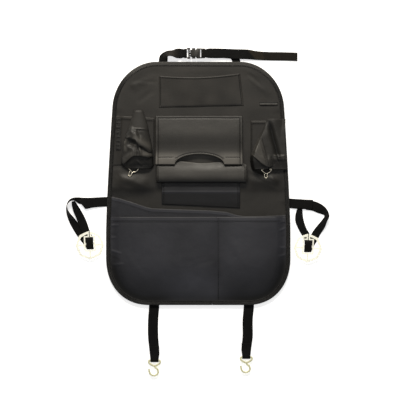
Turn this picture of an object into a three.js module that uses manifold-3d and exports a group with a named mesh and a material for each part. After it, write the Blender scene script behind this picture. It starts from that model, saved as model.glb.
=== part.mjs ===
// Car seat back organizer, lying flat on its back, face up.
// Millimetres. +X is the right of the face, +Y its top, +Z comes out of the face.
// The origin is the middle of the panel's back, on the floor.
// Each soft piece is a sheet of real thickness between two surfaces; sewn layers lie a small gap apart.
import * as THREE from 'three';
import Module from 'manifold-3d';
import { mergeVertices } from 'three/addons/utils/BufferGeometryUtils.js';

// Panel outline
const PANEL_WIDTH = 451;
const PANEL_HEIGHT = 595;
const TOP_NARROWING = 23;
const NARROWING_START = -119;
const TOP_CORNER = { wide: 100, high: 110, round: 2.0 };
const BOTTOM_CORNER = { wide: 106, high: 118, round: 2.2 };

// Layers
const LAYER_GAP = 0.3;
const LEATHER = 1.0;
const FLAP_THICKNESS = 1.6;
const PANEL_THICKNESS = 5.6;
const BINDING_WIDTH = 11;
const BINDING_TAPE = 0.8;
const BINDING_JOINT_X = 34;

// Webbing
const STRAP_WIDTH = 25;
const STRAP_THICKNESS = 1.4;
const STRAP_TUCK = 14;

// Pockets
const HEM_Y = -82;
const DIVIDER_X = 49;
const REAR_BULGE = 6.5;
const FRONT_BULGE = 7.5;
const SIDE_BULGE = 5;
const SIDE_POCKET_BOTTOM = 45;

// Centre flap and pouch
const FLAP_TOP_Y = 165;
const FLAP_BOTTOM_Y = 46;
const ARCH = { x: 3, halfWidth: 60, height: 25 };
const LOWER_FLAP_THICKNESS = 1.2;

// Fittings
const BUCKLE_ABOVE = 20.5;
const BUCKLE_HEIGHT = 27;
const BUCKLE_THICKNESS = 9;
const DISC_RADIUS = 35;
const DISC_THICKNESS = 2.8;
const DISC_LIFT = 4.2;
const WIRE_RADIUS = 1.15;
const WIRE_CLEARANCE = 0.45;
const BAR_RADIUS = 2.3;
const HOOK_BAR_BELOW = 135.5;

// Heights that follow from the layers, from the floor up
const UNDER_BINDING = STRAP_THICKNESS + LAYER_GAP;
const RIM_UNDER = UNDER_BINDING + BINDING_TAPE + LAYER_GAP;
const RIM_TOP = RIM_UNDER + 3.6;
const LAYER_STEP = LEATHER + LAYER_GAP;
const STRAP_LYING = STRAP_THICKNESS / 2;
const TOP_Y = PANEL_HEIGHT / 2;
const SIDE_X = PANEL_WIDTH / 2;
const BUCKLE_Y = TOP_Y + BUCKLE_ABOVE;
const HOOK_BAR_Y = -TOP_Y - HOOK_BAR_BELOW;
const EDGE_CLEARANCE = BINDING_TAPE + 1.1;

const { Vector3 } = THREE;
const mix = THREE.MathUtils.lerp;
const wasm = await Module();
wasm.setup();

function ramp(from, to, value) {
  const t = Math.min(1, Math.max(0, (value - from) / (to - from)));
  return t * t * (3 - 2 * t);
}

function bump(value, centre, spread) {
  return Math.exp(-(((value - centre) / spread) ** 2));
}

// Reads a value off a short list of [key, value] pairs given in rising or falling key order.
function along(pairs, key) {
  const list = pairs[0][0] < pairs[pairs.length - 1][0] ? pairs : [...pairs].reverse();
  let i = 1;
  while (i < list.length - 1 && key > list[i][0]) i += 1;
  const [k0, v0] = list[i - 1];
  const [k1, v1] = list[i];
  const t = Math.min(1, Math.max(0, (key - k0) / (k1 - k0)));
  return mix(v0, v1, t);
}

// Half the panel's width at a height, for the outline moved in by an inset.
function halfWidth(y, inset = 0) {
  const taper = Math.max(0, (y - NARROWING_START) / (TOP_Y - NARROWING_START));
  const side = PANEL_WIDTH / 2 - TOP_NARROWING * taper ** 1.3 - inset;
  const corner = y > 0 ? TOP_CORNER : BOTTOM_CORNER;
  const high = corner.high - inset;
  const wide = corner.wide - inset;
  const s = Math.min(1, Math.max(0, (Math.abs(y) - (TOP_Y - corner.high)) / high));
  return side - wide + wide * (1 - s ** corner.round) ** (1 / corner.round);
}

// How far a point lies in from the panel's outline.
function insetOf(x, y) {
  let near = 0;
  let far = Math.min(90, TOP_Y - Math.abs(y));
  for (let i = 0; i < 18; i += 1) {
    const middle = (near + far) / 2;
    if (Math.abs(x) < halfWidth(y, middle)) near = middle;
    else far = middle;
  }
  return near;
}

// One closed sheet between a face and a back, both given over across and down.
function sheet(across, down, face, back) {
  const positions = [];
  const index = [];
  const row = across + 1;
  const count = row * (down + 1);
  for (const surface of [face, back]) {
    for (let j = 0; j <= down; j += 1) {
      for (let i = 0; i <= across; i += 1) {
        const p = surface(i / across, j / down, i, j);
        positions.push(p.x, p.y, p.z);
      }
    }
  }
  const quad = (a, b, c, d) => index.push(a, b, c, a, c, d);
  for (let j = 0; j < down; j += 1) {
    for (let i = 0; i < across; i += 1) {
      const a = j * row + i;
      quad(a, a + row, a + row + 1, a + 1);
      quad(count + a, count + a + 1, count + a + row + 1, count + a + row);
    }
  }
  for (let i = 0; i < across; i += 1) {
    const last = down * row + i;
    quad(i, i + 1, count + i + 1, count + i);
    quad(last + 1, last, count + last, count + last + 1);
  }
  for (let j = 0; j < down; j += 1) {
    const left = j * row;
    const right = left + across;
    quad(left + row, left, count + left, count + left + row);
    quad(right, right + row, count + right + row, count + right);
  }
  const geometry = new THREE.BufferGeometry();
  geometry.setAttribute('position', new THREE.Float32BufferAttribute(positions, 3));
  geometry.setIndex(volumeOf(positions, index) < 0 ? turned(index) : index);
  geometry.computeVertexNormals();
  return geometry;
}

function volumeOf(positions, index) {
  let volume = 0;
  const corner = (i) => new Vector3().fromArray(positions, index[i] * 3);
  for (let i = 0; i < index.length; i += 3) {
    volume += corner(i).dot(corner(i + 1).cross(corner(i + 2)));
  }
  return volume / 6;
}

function turned(index) {
  const out = [];
  for (let i = 0; i < index.length; i += 3) out.push(index[i], index[i + 2], index[i + 1]);
  return out;
}

// A sheet of one thickness on both sides of a middle surface.
function cloth(across, down, middle, thickness) {
  const step = 0.004;
  const side = (sign) => (u, v, i, j) => {
    const du = middle(Math.min(1, u + step), v, i, j).sub(middle(Math.max(0, u - step), v, i, j));
    const dv = middle(u, Math.min(1, v + step), i, j).sub(middle(u, Math.max(0, v - step), i, j));
    const normal = dv.cross(du).normalize();
    return middle(u, v, i, j).addScaledVector(normal, (sign * thickness) / 2);
  };
  return sheet(across, down, side(1), side(-1));
}

// The same for a sheet that lies nearly level, where thickness goes straight up and down.
function levelCloth(across, down, middle, thickness) {
  const side = (sign) => (u, v, i, j) => middle(u, v, i, j).add(new Vector3(0, 0, (sign * thickness) / 2));
  return sheet(across, down, side(1), side(-1));
}

// Webbing through a list of stops: where its middle is, which way its width points, how wide it is.
function webbing(stops, { steps = 4, thickness = STRAP_THICKNESS } = {}) {
  const path = new THREE.CatmullRomCurve3(stops.map((s) => new Vector3(...s.at)), false, 'centripetal');
  const widths = stops.map((s) => new Vector3(...s.across).setLength((s.wide ?? STRAP_WIDTH) / 2));
  const spread = new THREE.CatmullRomCurve3(widths, false, 'catmullrom', 0.4);
  const place = (sign) => (u, v) => {
    const half = spread.getPoint(v);
    const lift = path.getTangent(v).cross(half).normalize();
    const p = path.getPoint(v).addScaledVector(half, 2 * u - 1);
    p.addScaledVector(lift, (sign * thickness) / 2);
    return p.setZ(Math.max(p.z, lift.z * sign > 0 ? thickness : 0));
  };
  return sheet(1, (stops.length - 1) * steps, place(1), place(-1));
}

// A round bar through a list of points.
function rod(points, radius, { steps = 16, sides = 8 } = {}) {
  const path = new THREE.CatmullRomCurve3(points.map((p) => new Vector3(...p)), false, 'centripetal');
  const ring = new THREE.Shape();
  for (let i = 0; i < sides; i += 1) {
    const angle = (2 * Math.PI * i) / sides;
    const corner = [radius * Math.cos(angle), radius * Math.sin(angle)];
    if (i === 0) ring.moveTo(...corner);
    else ring.lineTo(...corner);
  }
  return new THREE.ExtrudeGeometry(ring, { steps, extrudePath: path, curveSegments: 1 });
}

function plate(points, holes, thickness, bevel = 0) {
  const shape = new THREE.Shape(points.map(([x, y]) => new THREE.Vector2(x, y)));
  shape.holes = holes.map((hole) => new THREE.Path(hole.map(([x, y]) => new THREE.Vector2(x, y))));
  const options = {
    depth: thickness - 2 * bevel,
    bevelEnabled: bevel > 0,
    bevelThickness: bevel,
    bevelSize: bevel,
    bevelOffset: -bevel,
    bevelSegments: 1,
    curveSegments: 1,
  };
  return new THREE.ExtrudeGeometry(shape, options).translate(0, 0, bevel);
}

function box(x0, x1, y0, y1, z0, z1) {
  const block = new THREE.BoxGeometry(x1 - x0, y1 - y0, z1 - z0);
  return block.translate((x0 + x1) / 2, (y0 + y1) / 2, (z0 + z1) / 2);
}

// Solids joined and cut
function solid(geometry) {
  const bare = geometry.clone();
  bare.deleteAttribute('normal');
  bare.deleteAttribute('uv');
  const merged = mergeVertices(bare, 1e-4);
  return new wasm.Manifold(new wasm.Mesh({
    numProp: 3,
    vertProperties: new Float32Array(merged.attributes.position.array),
    triVerts: new Uint32Array(merged.index.array),
  }));
}

function geometryOf(manifold) {
  const mesh = manifold.getMesh();
  const geometry = new THREE.BufferGeometry();
  geometry.setAttribute('position', new THREE.BufferAttribute(new Float32Array(mesh.vertProperties), 3));
  geometry.setIndex(new THREE.BufferAttribute(new Uint32Array(mesh.triVerts), 1));
  geometry.computeVertexNormals();
  return geometry;
}

function joined(parts, cuts = []) {
  let whole = solid(parts[0]);
  for (const part of parts.slice(1)) whole = whole.add(solid(part));
  for (const cut of cuts) whole = whole.subtract(solid(cut));
  return geometryOf(whole);
}

// Materials
const material = (color, roughness, metalness = 0) => (
  new THREE.MeshStandardMaterial({ color, roughness, metalness })
);
const LOOKS = {
  leather: () => material(0x33312e, 0.55),
  lining: () => material(0x26262a, 0.8),
  tape: () => material(0x1b1a19, 0.8),
  webbing: () => material(0x141414, 0.85),
  buckle: () => material(0x3a332b, 0.45),
  clear: () => material(0xefecd0, 0.25),
  nickel: () => material(0xb9a88c, 0.3, 1),
};

const organizer = new THREE.Group();
organizer.name = 'car_seat_back_organizer';

function add(name, geometry, look) {
  const mesh = new THREE.Mesh(geometry, LOOKS[look]());
  mesh.name = name;
  organizer.add(mesh);
}

// How many sewn layers lie over the panel's rim at a point
function rimLayers(x, y) {
  const rear = ramp(-8, -24, y);
  const front = ramp(-40, -56, y);
  const sides = ramp(30, 42, y) * ramp(182, 170, y) * ramp(96, 108, Math.abs(x));
  return { rear, front, sides };
}

// Top surface of the panel: compressed at the rim, padded inside, one soft ridge beside the pouch.
function panelTop(x, y) {
  const { rear, front, sides } = rimLayers(x, y);
  const inset = insetOf(x, y);
  const rim = RIM_TOP - LAYER_STEP * (rear + front + sides);
  const inner = PANEL_THICKNESS - 1.2 * rear - 0.2 * sides;
  const beside = ramp(112, 140, Math.abs(x));
  const ridge = 4.2 * bump(y, 6, 15) * beside * ramp(12, 40, inset);
  const slump = 1.4 * bump(x + y * 0.4, -150, 26) * bump(y, -6, 22) * ramp(12, 40, inset);
  return mix(rim, inner, ramp(11, 32, inset)) + ridge + slump;
}

function panelUnder(x, y) {
  return RIM_UNDER * (1 - ramp(STRAP_TUCK + 3, STRAP_TUCK + 22, insetOf(x, y)));
}

// Panel
const PANEL_ROWS = [0, 3, 8, 15, 24, 36, 52, 72, 95];
const MIDDLE_ROWS = [
  182, 170, 148, 120, 90, 62, 42, 30, 18, 6, -8, -24, -40, -56, -85, -115, -148,
];
const COLUMN_INSETS = [0, 12, 24, 36];
const MIDDLE_COLUMNS = 14;
const DIVIDER_COLUMN = 12;

function panelRow(j) {
  const ends = PANEL_ROWS.length;
  const middle = j - ends;
  const edge = TOP_Y - EDGE_CLEARANCE;
  if (j < ends) return edge - PANEL_ROWS[j];
  if (middle < MIDDLE_ROWS.length) return MIDDLE_ROWS[middle];
  return -(edge - PANEL_ROWS[2 * ends + MIDDLE_ROWS.length - 1 - j]);
}

// Columns across the panel or a big pocket: four close to each side, the rest spread, one on the divider
function columnAt(u, y, rim) {
  const ends = COLUMN_INSETS.length;
  const total = 2 * ends + MIDDLE_COLUMNS - 2;
  const edge = halfWidth(y, rim);
  const stop = (i) => {
    const inset = COLUMN_INSETS[i];
    return Math.min(edge - 0.6 * inset, halfWidth(y, rim + inset) - 0.1 * inset);
  };
  const reach = stop(ends - 1);
  const spacing = (2 * reach) / (total - 2 * ends + 2);
  const column = (i) => {
    if (i < ends) return -stop(i);
    if (i > total - ends) return stop(total - i);
    const x = -reach + spacing * (i - ends + 1);
    return i === DIVIDER_COLUMN ? mix(x, DIVIDER_X, ramp(110, 170, reach)) : x;
  };
  const k = Math.min(total, Math.max(0, u * total));
  const i = Math.min(total - 1, Math.floor(k));
  return mix(column(i), column(i + 1), k - i);
}

function panel() {
  const rows = 2 * PANEL_ROWS.length + MIDDLE_ROWS.length - 1;
  const columns = 2 * COLUMN_INSETS.length + MIDDLE_COLUMNS - 2;
  const at = (height) => (u, v, i, j) => {
    const y = panelRow(j);
    const x = columnAt(u, y, EDGE_CLEARANCE);
    return new Vector3(x, y, height(x, y));
  };
  return sheet(columns, rows, at(panelTop), at(panelUnder));
}
add('panel', panel(), 'leather');

// Edge binding: one tape folded over the rim, its two ends meeting in the bottom edge
function rimPath() {
  const points = [];
  const bottomFlat = PANEL_WIDTH / 2 - BOTTOM_CORNER.wide;
  const topFlat = halfWidth(TOP_Y);
  const addSide = (sign, upward) => {
    const stops = [];
    for (let i = 0; i <= 11; i += 1) {
      const s = Math.sin((Math.PI / 2) * (i / 11));
      stops.push(-TOP_Y + BOTTOM_CORNER.high * (1 - s));
    }
    for (let i = 1; i <= 7; i += 1) {
      stops.push(mix(-TOP_Y + BOTTOM_CORNER.high, TOP_Y - TOP_CORNER.high, i / 7));
    }
    for (let i = 1; i <= 11; i += 1) {
      stops.push(TOP_Y - TOP_CORNER.high + TOP_CORNER.high * Math.sin((Math.PI / 2) * (i / 11)));
    }
    stops.sort((a, b) => (upward ? a - b : b - a));
    for (const y of stops) points.push(new Vector3(sign * halfWidth(y), y, 0));
  };
  for (const t of [0, 0.5]) points.push(new Vector3(mix(BINDING_JOINT_X, bottomFlat, t), -TOP_Y, 0));
  addSide(1, true);
  for (const t of [0.25, 0.5, 0.75]) points.push(new Vector3(mix(topFlat, -topFlat, t), TOP_Y, 0));
  addSide(-1, false);
  const end = BINDING_JOINT_X - 0.5;
  for (const t of [0.35, 0.7, 1]) points.push(new Vector3(mix(-bottomFlat, end, t), -TOP_Y, 0));
  return points;
}

function binding() {
  const path = rimPath();
  const outer = [
    [BINDING_WIDTH, UNDER_BINDING], [1.4, UNDER_BINDING], [0, UNDER_BINDING + 1.6],
    [0, RIM_TOP - 0.4], [1.4, RIM_TOP + LAYER_GAP + BINDING_TAPE],
    [BINDING_WIDTH, RIM_TOP + LAYER_GAP + BINDING_TAPE],
  ];
  const inner = [
    [BINDING_WIDTH, UNDER_BINDING + BINDING_TAPE], [1.7, UNDER_BINDING + BINDING_TAPE],
    [BINDING_TAPE, UNDER_BINDING + 1.8], [BINDING_TAPE, RIM_TOP - 0.6],
    [1.7, RIM_TOP + LAYER_GAP], [BINDING_WIDTH, RIM_TOP + LAYER_GAP],
  ];
  const place = (profile) => (u, v, i, j) => {
    const before = path[Math.max(0, j - 1)];
    const after = path[Math.min(path.length - 1, j + 1)];
    const run = after.clone().sub(before).normalize();
    const [inset, z] = profile[i];
    return new Vector3(path[j].x - run.y * inset, path[j].y + run.x * inset, z);
  };
  return sheet(outer.length - 1, path.length - 1, place(outer), place(inner));
}
add('edge_binding', binding(), 'tape');

// Rear and front big pockets, caught under the binding on three sides
const MOUTH = [
  [-219, -29], [-194, -33], [-170, -37], [-144, -44], [-123, -51], [-103, -58], [-91, -61],
  [-59, -62.5], [20, -66], [54, -70], [73, -77], [92, -80.5], [130, -80], [181, -78], [219, -75],
];

function acrossShare(x, y) {
  return Math.cos((Math.PI / 2) * Math.min(1, Math.abs(x) / halfWidth(y, BINDING_WIDTH)));
}

function rearMiddle(x, y) {
  const inset = insetOf(x, y);
  const rim = RIM_TOP - LAYER_STEP * ramp(-58, -74, y) - LEATHER / 2;
  const inner = PANEL_THICKNESS - 1.2 + LAYER_GAP + LEATHER / 2;
  const fullness = acrossShare(x, y) ** 0.6 * ramp(-292, -180, y);
  const wave = 1.6 * bump(x, -150, 34) * ramp(-82, -40, y) - 1.2 * bump(x, 100, 40) * ramp(-95, -70, y);
  const bulge = Math.max(0, REAR_BULGE * fullness + wave * acrossShare(x, y));
  return mix(rim, inner, ramp(11, 32, inset)) + bulge * ramp(11, 32, inset);
}

function frontMiddle(x, y) {
  const inset = insetOf(x, y);
  const left = (x + 212) / (DIVIDER_X + 212);
  const right = (x - DIVIDER_X) / (216 - DIVIDER_X);
  const share = x < DIVIDER_X ? left : right;
  const fullness = Math.max(0, Math.sin(Math.PI * Math.min(1, Math.max(0, share)))) ** 0.7;
  const bulge = FRONT_BULGE * fullness * ramp(-294, -200, y) * (1 - 0.1 * ramp(-110, -82, y));
  return rearMiddle(x, y) + LAYER_STEP + 0.18 * ramp(2, 9, inset) + bulge * ramp(14, 36, inset);
}

function bigPocket(rows, mouthY, height) {
  const columns = 2 * COLUMN_INSETS.length + MIDDLE_COLUMNS - 2;
  const middle = (u, v, i, j) => {
    const t = v ** 0.8;
    const low = -(TOP_Y - EDGE_CLEARANCE - 0.3);
    const first = mouthY(mix(-216, 216, u));
    const y = mix(first, low, 1 - (1 - t) ** 1.5);
    const x = columnAt(u, y, EDGE_CLEARANCE + 0.3);
    return new Vector3(x, y, height(x, y));
  };
  return levelCloth(columns, rows, middle, LEATHER);
}
add('rear_pocket', bigPocket(9, (x) => along(MOUTH, x), rearMiddle), 'leather');
add('front_pocket', bigPocket(10, () => HEM_Y, frontMiddle), 'leather');

// Upper patch pocket, its open top edge sagging a little
const UPPER_POCKET = { left: -96, right: 102, lean: 9, top: 265, bottom: 187 };

function upperPocket() {
  const middle = (u, v) => {
    const x = mix(UPPER_POCKET.left, UPPER_POCKET.right + UPPER_POCKET.lean * v, u);
    const sag = 7 * Math.sin(Math.PI * u) * (1 - v);
    const y = mix(UPPER_POCKET.top - 2 + 6 * u, UPPER_POCKET.bottom - 2 + 5 * u, v) - sag;
    const full = 7.4 * Math.sin(Math.PI * u) ** 0.8 * (1 - v) ** 0.8;
    return new Vector3(x, y, panelTop(x, y) + LAYER_GAP + LEATHER / 2 + full);
  };
  return levelCloth(12, 6, middle, LEATHER);
}
add('upper_pocket', upperPocket(), 'leather');

// Small slot hem on the right of the top
function slotHem() {
  const middle = (u, v) => {
    const x = mix(150, 194, u);
    const y = mix(199, 190, v);
    return new Vector3(x, y, panelTop(x, y) + LAYER_GAP + 0.6 + 1.2 * Math.sin(Math.PI * v) ** 0.7);
  };
  return cloth(6, 4, middle, 1.2);
}
add('slot_hem', slotHem(), 'leather');

// Side pocket backings, from the binding to beside the flap
const LEFT_BACKING_EDGE = 105.5;
const RIGHT_BACKING_EDGE = 128;

// Middle height of a side pocket backing, also carried on past its ends for what is sewn over it
function backingMiddle(x, y, inner) {
  const outer = halfWidth(y, EDGE_CLEARANCE + 0.3);
  const u = Math.min(1, Math.max(0, (outer - Math.abs(x)) / (outer - inner)));
  const v = Math.min(1, Math.max(0, (165 - y) / (165 - SIDE_POCKET_BOTTOM)));
  const full = SIDE_BULGE * Math.sin(Math.PI * u) ** 0.7 * (1 - v) ** 0.5;
  return panelTop(x, y) + LAYER_GAP + LEATHER / 2 + full * ramp(11, 30, insetOf(x, y));
}

function backing(inner, top, sign) {
  const middle = (u, v) => {
    const y = mix(top(u), SIDE_POCKET_BOTTOM, v);
    const x = sign * mix(halfWidth(y, EDGE_CLEARANCE + 0.3), inner, u);
    return new Vector3(x, y, backingMiddle(x, y, inner));
  };
  return levelCloth(12, 8, middle, LEATHER);
}
add('left_pocket_backing', backing(LEFT_BACKING_EDGE, (u) => mix(166, 160, u), -1), 'leather');
add('right_pocket_backing', backing(RIGHT_BACKING_EDGE, () => 153, 1), 'leather');

// Gathered elastic strip beside the left binding
function elastic() {
  const ripples = 13;
  const middle = (u, v) => {
    const x = mix(24.5, 36.5, u) - SIDE_X;
    const y = mix(160, 82, v);
    const ripple = 0.55 * Math.sin(2 * Math.PI * ripples * v);
    const base = backingMiddle(x, y, LEFT_BACKING_EDGE) + LAYER_STEP + 0.75;
    return new Vector3(x, y, base + ripple);
  };
  return cloth(1, ripples * 4, middle, 0.9);
}
add('left_gathered_elastic', elastic(), 'tape');

// One overturned fold in cloth that runs down a sheet: how far forward it is thrown, how high it stands.
function fold(s, centre, width) {
  const t = (s - centre) / width;
  const throwForward = Math.abs(t) < 1 ? -Math.sin(Math.PI * t) : 0;
  const lift = ramp(-3.2, -0.5, t) * (1 - ramp(-0.45, 0.5, t));
  return { throwForward, lift };
}

// Left cup pocket: a narrow standing top, a lip that curls over a dark swirl, and a low lip under it.
// Its sides are given as heights and distances in from the side of the panel.
const LEFT_CUP_TOP = 178;
const LEFT_CUP_BOTTOM = 36;
const LEFT_CUP_OUTER = [
  [178, 70], [162, 64.5], [140, 57.5], [128, 53.5], [116, 48.5], [99, 44], [82, 41], [69, 39], [57, 37.5],
  [46, 38], [36, 49],
];
const LEFT_CUP_INNER = [
  [178, 90], [157, 97.5], [140, 102], [128, 104], [116, 107], [99, 110.5], [82, 113.5], [57, 115.5],
  [43, 116.5], [36, 111],
];

function leftCup() {
  const length = LEFT_CUP_TOP - LEFT_CUP_BOTTOM;
  const share = (y) => (LEFT_CUP_TOP - y) / length;
  const middle = (u, v) => {
    const lipLine = 109 + 5 * bump(u, 0.16, 0.12) - 16 * ramp(0.38, 0.62, u) - 18 * ramp(0.6, 1, u);
    const lowLine = mix(52, 64, ramp(0, 0.42, u)) - 2 * ramp(0.5, 1, u);
    const lip = fold(v, share(lipLine), 0.08);
    const low = fold(v, share(lowLine), 0.055);
    const y = mix(LEFT_CUP_TOP, LEFT_CUP_BOTTOM, v);
    const x = mix(along(LEFT_CUP_OUTER, y), along(LEFT_CUP_INNER, y), u) - SIDE_X;
    const round = Math.sin(Math.PI * u) ** 0.45;
    const floor = backingMiddle(x, y, LEFT_BACKING_EDGE) + LAYER_STEP;
    const top = 9 - 4.5 * ramp(0.12, 0, v) + 3 * ramp(0, 0.35, v) - 3 * ramp(0.8, 1, v);
    const crossCrease = 1.8 * bump(y, 132.5, 3.2) - 1.2 * bump(y, 139, 5);
    const swirl = 5 * bump(u, 0.27, 0.13) * bump(y, 97, 6) - 2.5 * bump(u, 0.24, 0.12) * bump(y, 85, 7);
    const spine = 3 * bump(u - (95 - y) * 0.004, 0.52, 0.06) * bump(y, 84, 12);
    const z = floor + (top + crossCrease + 9.5 * lip.lift + 6.5 * low.lift - swirl + spine) * round;
    const inside = ramp(0, 0.12, u) * ramp(1, 0.9, u);
    const forward = (7 * lip.throwForward + 5.5 * low.throwForward) * inside;
    return new Vector3(x, y - forward, z);
  };
  return cloth(14, 30, middle, LEATHER);
}
add('left_cup_pocket', leftCup(), 'leather');

// Right cup pocket: a tall outer side, a valley, and a front face turned back to a slanting edge over a hollow
const RIGHT_CUP_TOP = 157;
const RIGHT_CUP_BOTTOM = 34;
const RIGHT_CUP_INNER = [
  [157, 57], [114, 77], [90, 88], [68, 98], [55, 99], [34, 94.5],
];
const RIGHT_CUP_OUTER = [[157, 12.5], [117, 14.5], [86, 12.5], [60, 10], [42, 8.5], [34, 8]];

function rightCup() {
  const length = RIGHT_CUP_TOP - RIGHT_CUP_BOTTOM;
  const share = (y) => (RIGHT_CUP_TOP - y) / length;
  const middle = (u, v) => {
    const y = mix(RIGHT_CUP_TOP, RIGHT_CUP_BOTTOM, v);
    const x = SIDE_X - mix(along(RIGHT_CUP_INNER, y), along(RIGHT_CUP_OUTER, y), u);
    const hollowLine = 69 - 27 * ramp(0, 0.5, u);
    const front = fold(v, share(hollowLine), 0.08);
    const valleyX = SIDE_X - along([[157, 54], [111, 43], [62, 30], [34, 24]], y);
    const valley = -6.5 * bump(x, valleyX, 6.5) * ramp(0, 0.25, v) * ramp(1.05, 0.6, v);
    const turnedX = SIDE_X - along([[114, 75], [79, 65], [49, 58], [34, 54]], y);
    const turned = 8 * ramp(114, 52, y) * ramp(turnedX + 3, turnedX - 7, x) * ramp(0, 0.08, u);
    const open = 4.6 * Math.sin(Math.PI * Math.min(1, u * 1.2)) * ramp(0.5, 0, v);
    const body = 12.5 + open + 7 * ramp(0, 0.1, u) * ramp(-0.1, 0.5, v) * (1 - 0.45 * u) - 3 * ramp(0.8, 1, v);
    const sideFlap = 3 * ramp(71, 66, y) * ramp(52, 60, y) * ramp(0.62, 0.72, u) * ramp(1, 0.92, u);
    const inFront = ramp(0.62, 0.5, u);
    const z = body + valley + turned + sideFlap + 5 * front.lift * inFront;
    const forward = 6.5 * front.throwForward * inFront * ramp(0, 0.1, u);
    return new Vector3(x, y - forward, z);
  };
  return cloth(15, 26, middle, LEATHER);
}
add('right_cup_pocket', rightCup(), 'leather');

// Holder pouch: rises from under the flap, stands highest near the front and rolls under
const POUCH_LEFT = -102;
const POUCH_RIGHT = 118;
const POUCH_SECTION = [
  [57, 11.2], [47, 14.0], [36, 17.2], [25, 19.8], [15, 21.2], [8, 20.6], [3.2, 17.6], [2.4, 13.6],
  [4.4, 9.8], [9, 7.6],
].map(([y, z]) => new Vector3(0, y, z));

function pouch() {
  const section = new THREE.CatmullRomCurve3(POUCH_SECTION, false, 'centripetal');
  const middle = (u, v) => {
    const p = section.getPoint(v);
    const x = mix(POUCH_LEFT, POUCH_RIGHT, u);
    const end = Math.min(1, Math.sin(Math.PI * mix(0.03, 0.97, u)) * 7);
    const lip = -5.5 * u * (1 - ramp(0, 0.3, v));
    const floor = panelTop(x, p.y) + 2 * LAYER_GAP + LOWER_FLAP_THICKNESS + 0.7;
    return new Vector3(x, p.y + lip, Math.max(floor, mix(floor + 5, p.z, end)));
  };
  return cloth(12, 16, middle, 1.4);
}
add('holder_pouch', pouch(), 'leather');

// Lower flap hanging from under the pouch, with a soft ridge across it
function lowerFlap() {
  const middle = (u, v) => {
    const x = mix(-89, 102, u);
    const y = mix(11, mix(-51, -60.5, u), v);
    const ridge = 1.6 * bump(y, -21, 7);
    const z = panelTop(x, y) + LAYER_GAP + LOWER_FLAP_THICKNESS / 2 + ridge + 1.6 * ramp(0.2, 1, v) * (0.6 + 0.4 * u);
    return new Vector3(x, y, z);
  };
  return levelCloth(10, 10, middle, LOWER_FLAP_THICKNESS);
}
add('lower_flap', lowerFlap(), 'leather');

// Centre flap with the arched cut-out in its bottom edge
const FLAP_HEIGHTS = [[165, 6.95], [150, 10.6], [132, 14.6], [112, 15.4], [92, 14.8], [74, 16.6], [60, 18.4], [46, 19.2]];

function archFlap() {
  const edge = (x) => {
    const d = Math.min(1, Math.abs(x - ARCH.x) / ARCH.halfWidth);
    return FLAP_BOTTOM_Y + ARCH.height * Math.sqrt(Math.max(0, 1 - d * d));
  };
  const middle = (u, v) => {
    const left = ARCH.x - ARCH.halfWidth;
    const right = ARCH.x + ARCH.halfWidth;
    let x = ARCH.x - ARCH.halfWidth * Math.cos(Math.PI * Math.min(1, Math.max(0, (u - 0.25) / 0.5)));
    if (u < 0.25) x = mix(-104, left, u / 0.25);
    if (u > 0.75) x = mix(right, 108, (u - 0.75) / 0.25);
    const y = mix(FLAP_TOP_Y, edge(x), v);
    const side = ramp(0, 0.08, u) * ramp(1, 0.92, u);
    return new Vector3(x, y, along(FLAP_HEIGHTS, y) - 1.2 * (1 - side) * ramp(0.1, 0.3, v));
  };
  return cloth(22, 9, middle, FLAP_THICKNESS);
}
add('arch_flap', archFlap(), 'leather');

// Hook tabs and wire hooks under the side pockets
const LEFT_EYE = { y: 38, z: 10.2 };
const RIGHT_EYE = { y: 35, z: 10.2 };

function hookTab(x, y, z) {
  const r = WIRE_RADIUS + WIRE_CLEARANCE + 0.4;
  const across = [1, 0, 0];
  const stop = (dy, dz) => ({ at: [x, y + dy, z + dz], across, wide: 13 });
  return webbing([
    stop(15, -r), stop(7, -r), stop(0, -r), stop(-r * 0.72, -r * 0.72), stop(-r, 0),
    stop(-r * 0.72, r * 0.72), stop(0, r), stop(7, r), stop(15, r),
  ], { steps: 2, thickness: 0.8 });
}

// Wire bent into a three-sided eye, a neck and an open hook
function wireHook(x, y, z, turn) {
  const flat = (dx, dy, dz) => {
    const c = Math.cos(turn);
    const s = Math.sin(turn);
    return [x + dx * c - dy * s, y + dx * s + dy * c, z + dz];
  };
  const eyeParts = [
    rod([[x - 11, y, z], [x + 11, y, z]], WIRE_RADIUS, { steps: 1, sides: 6 }),
    rod([[x - 10.9, y, z], [x - 12, y - 1.5, z], flat(-9, -6, 0), flat(0, -12, 0)], WIRE_RADIUS, { steps: 6, sides: 6 }),
    rod([[x + 10.9, y, z], [x + 12, y - 1.5, z], flat(9, -6, 0), flat(0, -12, 0)], WIRE_RADIUS, { steps: 6, sides: 6 }),
  ];
  const shank = rod([
    flat(0, -11, 0), flat(0, -14, 0), flat(-0.6, -19, 0.3), flat(-3.4, -22.4, 0.6), flat(-6.4, -20, 0.6),
    flat(-6.8, -15, 0.5), flat(-6.2, -10.5, 0.4),
  ], WIRE_RADIUS, { steps: 14, sides: 6 });
  return joined([...eyeParts, shank]);
}
const LEFT_EYE_X = 67.5 - SIDE_X;
const RIGHT_EYE_X = SIDE_X - 58.5;
add('hook_tab_left', hookTab(LEFT_EYE_X, LEFT_EYE.y, LEFT_EYE.z), 'webbing');
add('hook_tab_right', hookTab(RIGHT_EYE_X, RIGHT_EYE.y, RIGHT_EYE.z), 'webbing');
add('metal_hook_left', wireHook(LEFT_EYE_X, LEFT_EYE.y, LEFT_EYE.z, -0.3), 'nickel');
add('metal_hook_right', wireHook(RIGHT_EYE_X, RIGHT_EYE.y, RIGHT_EYE.z, 0.1), 'nickel');

// Straps
const lying = (x, y, z, across, wide) => ({ at: [x, y, z], across, wide });
const ALONG_X = [1, 0, 0];
const ALONG_Y = [0, 1, 0];

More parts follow.
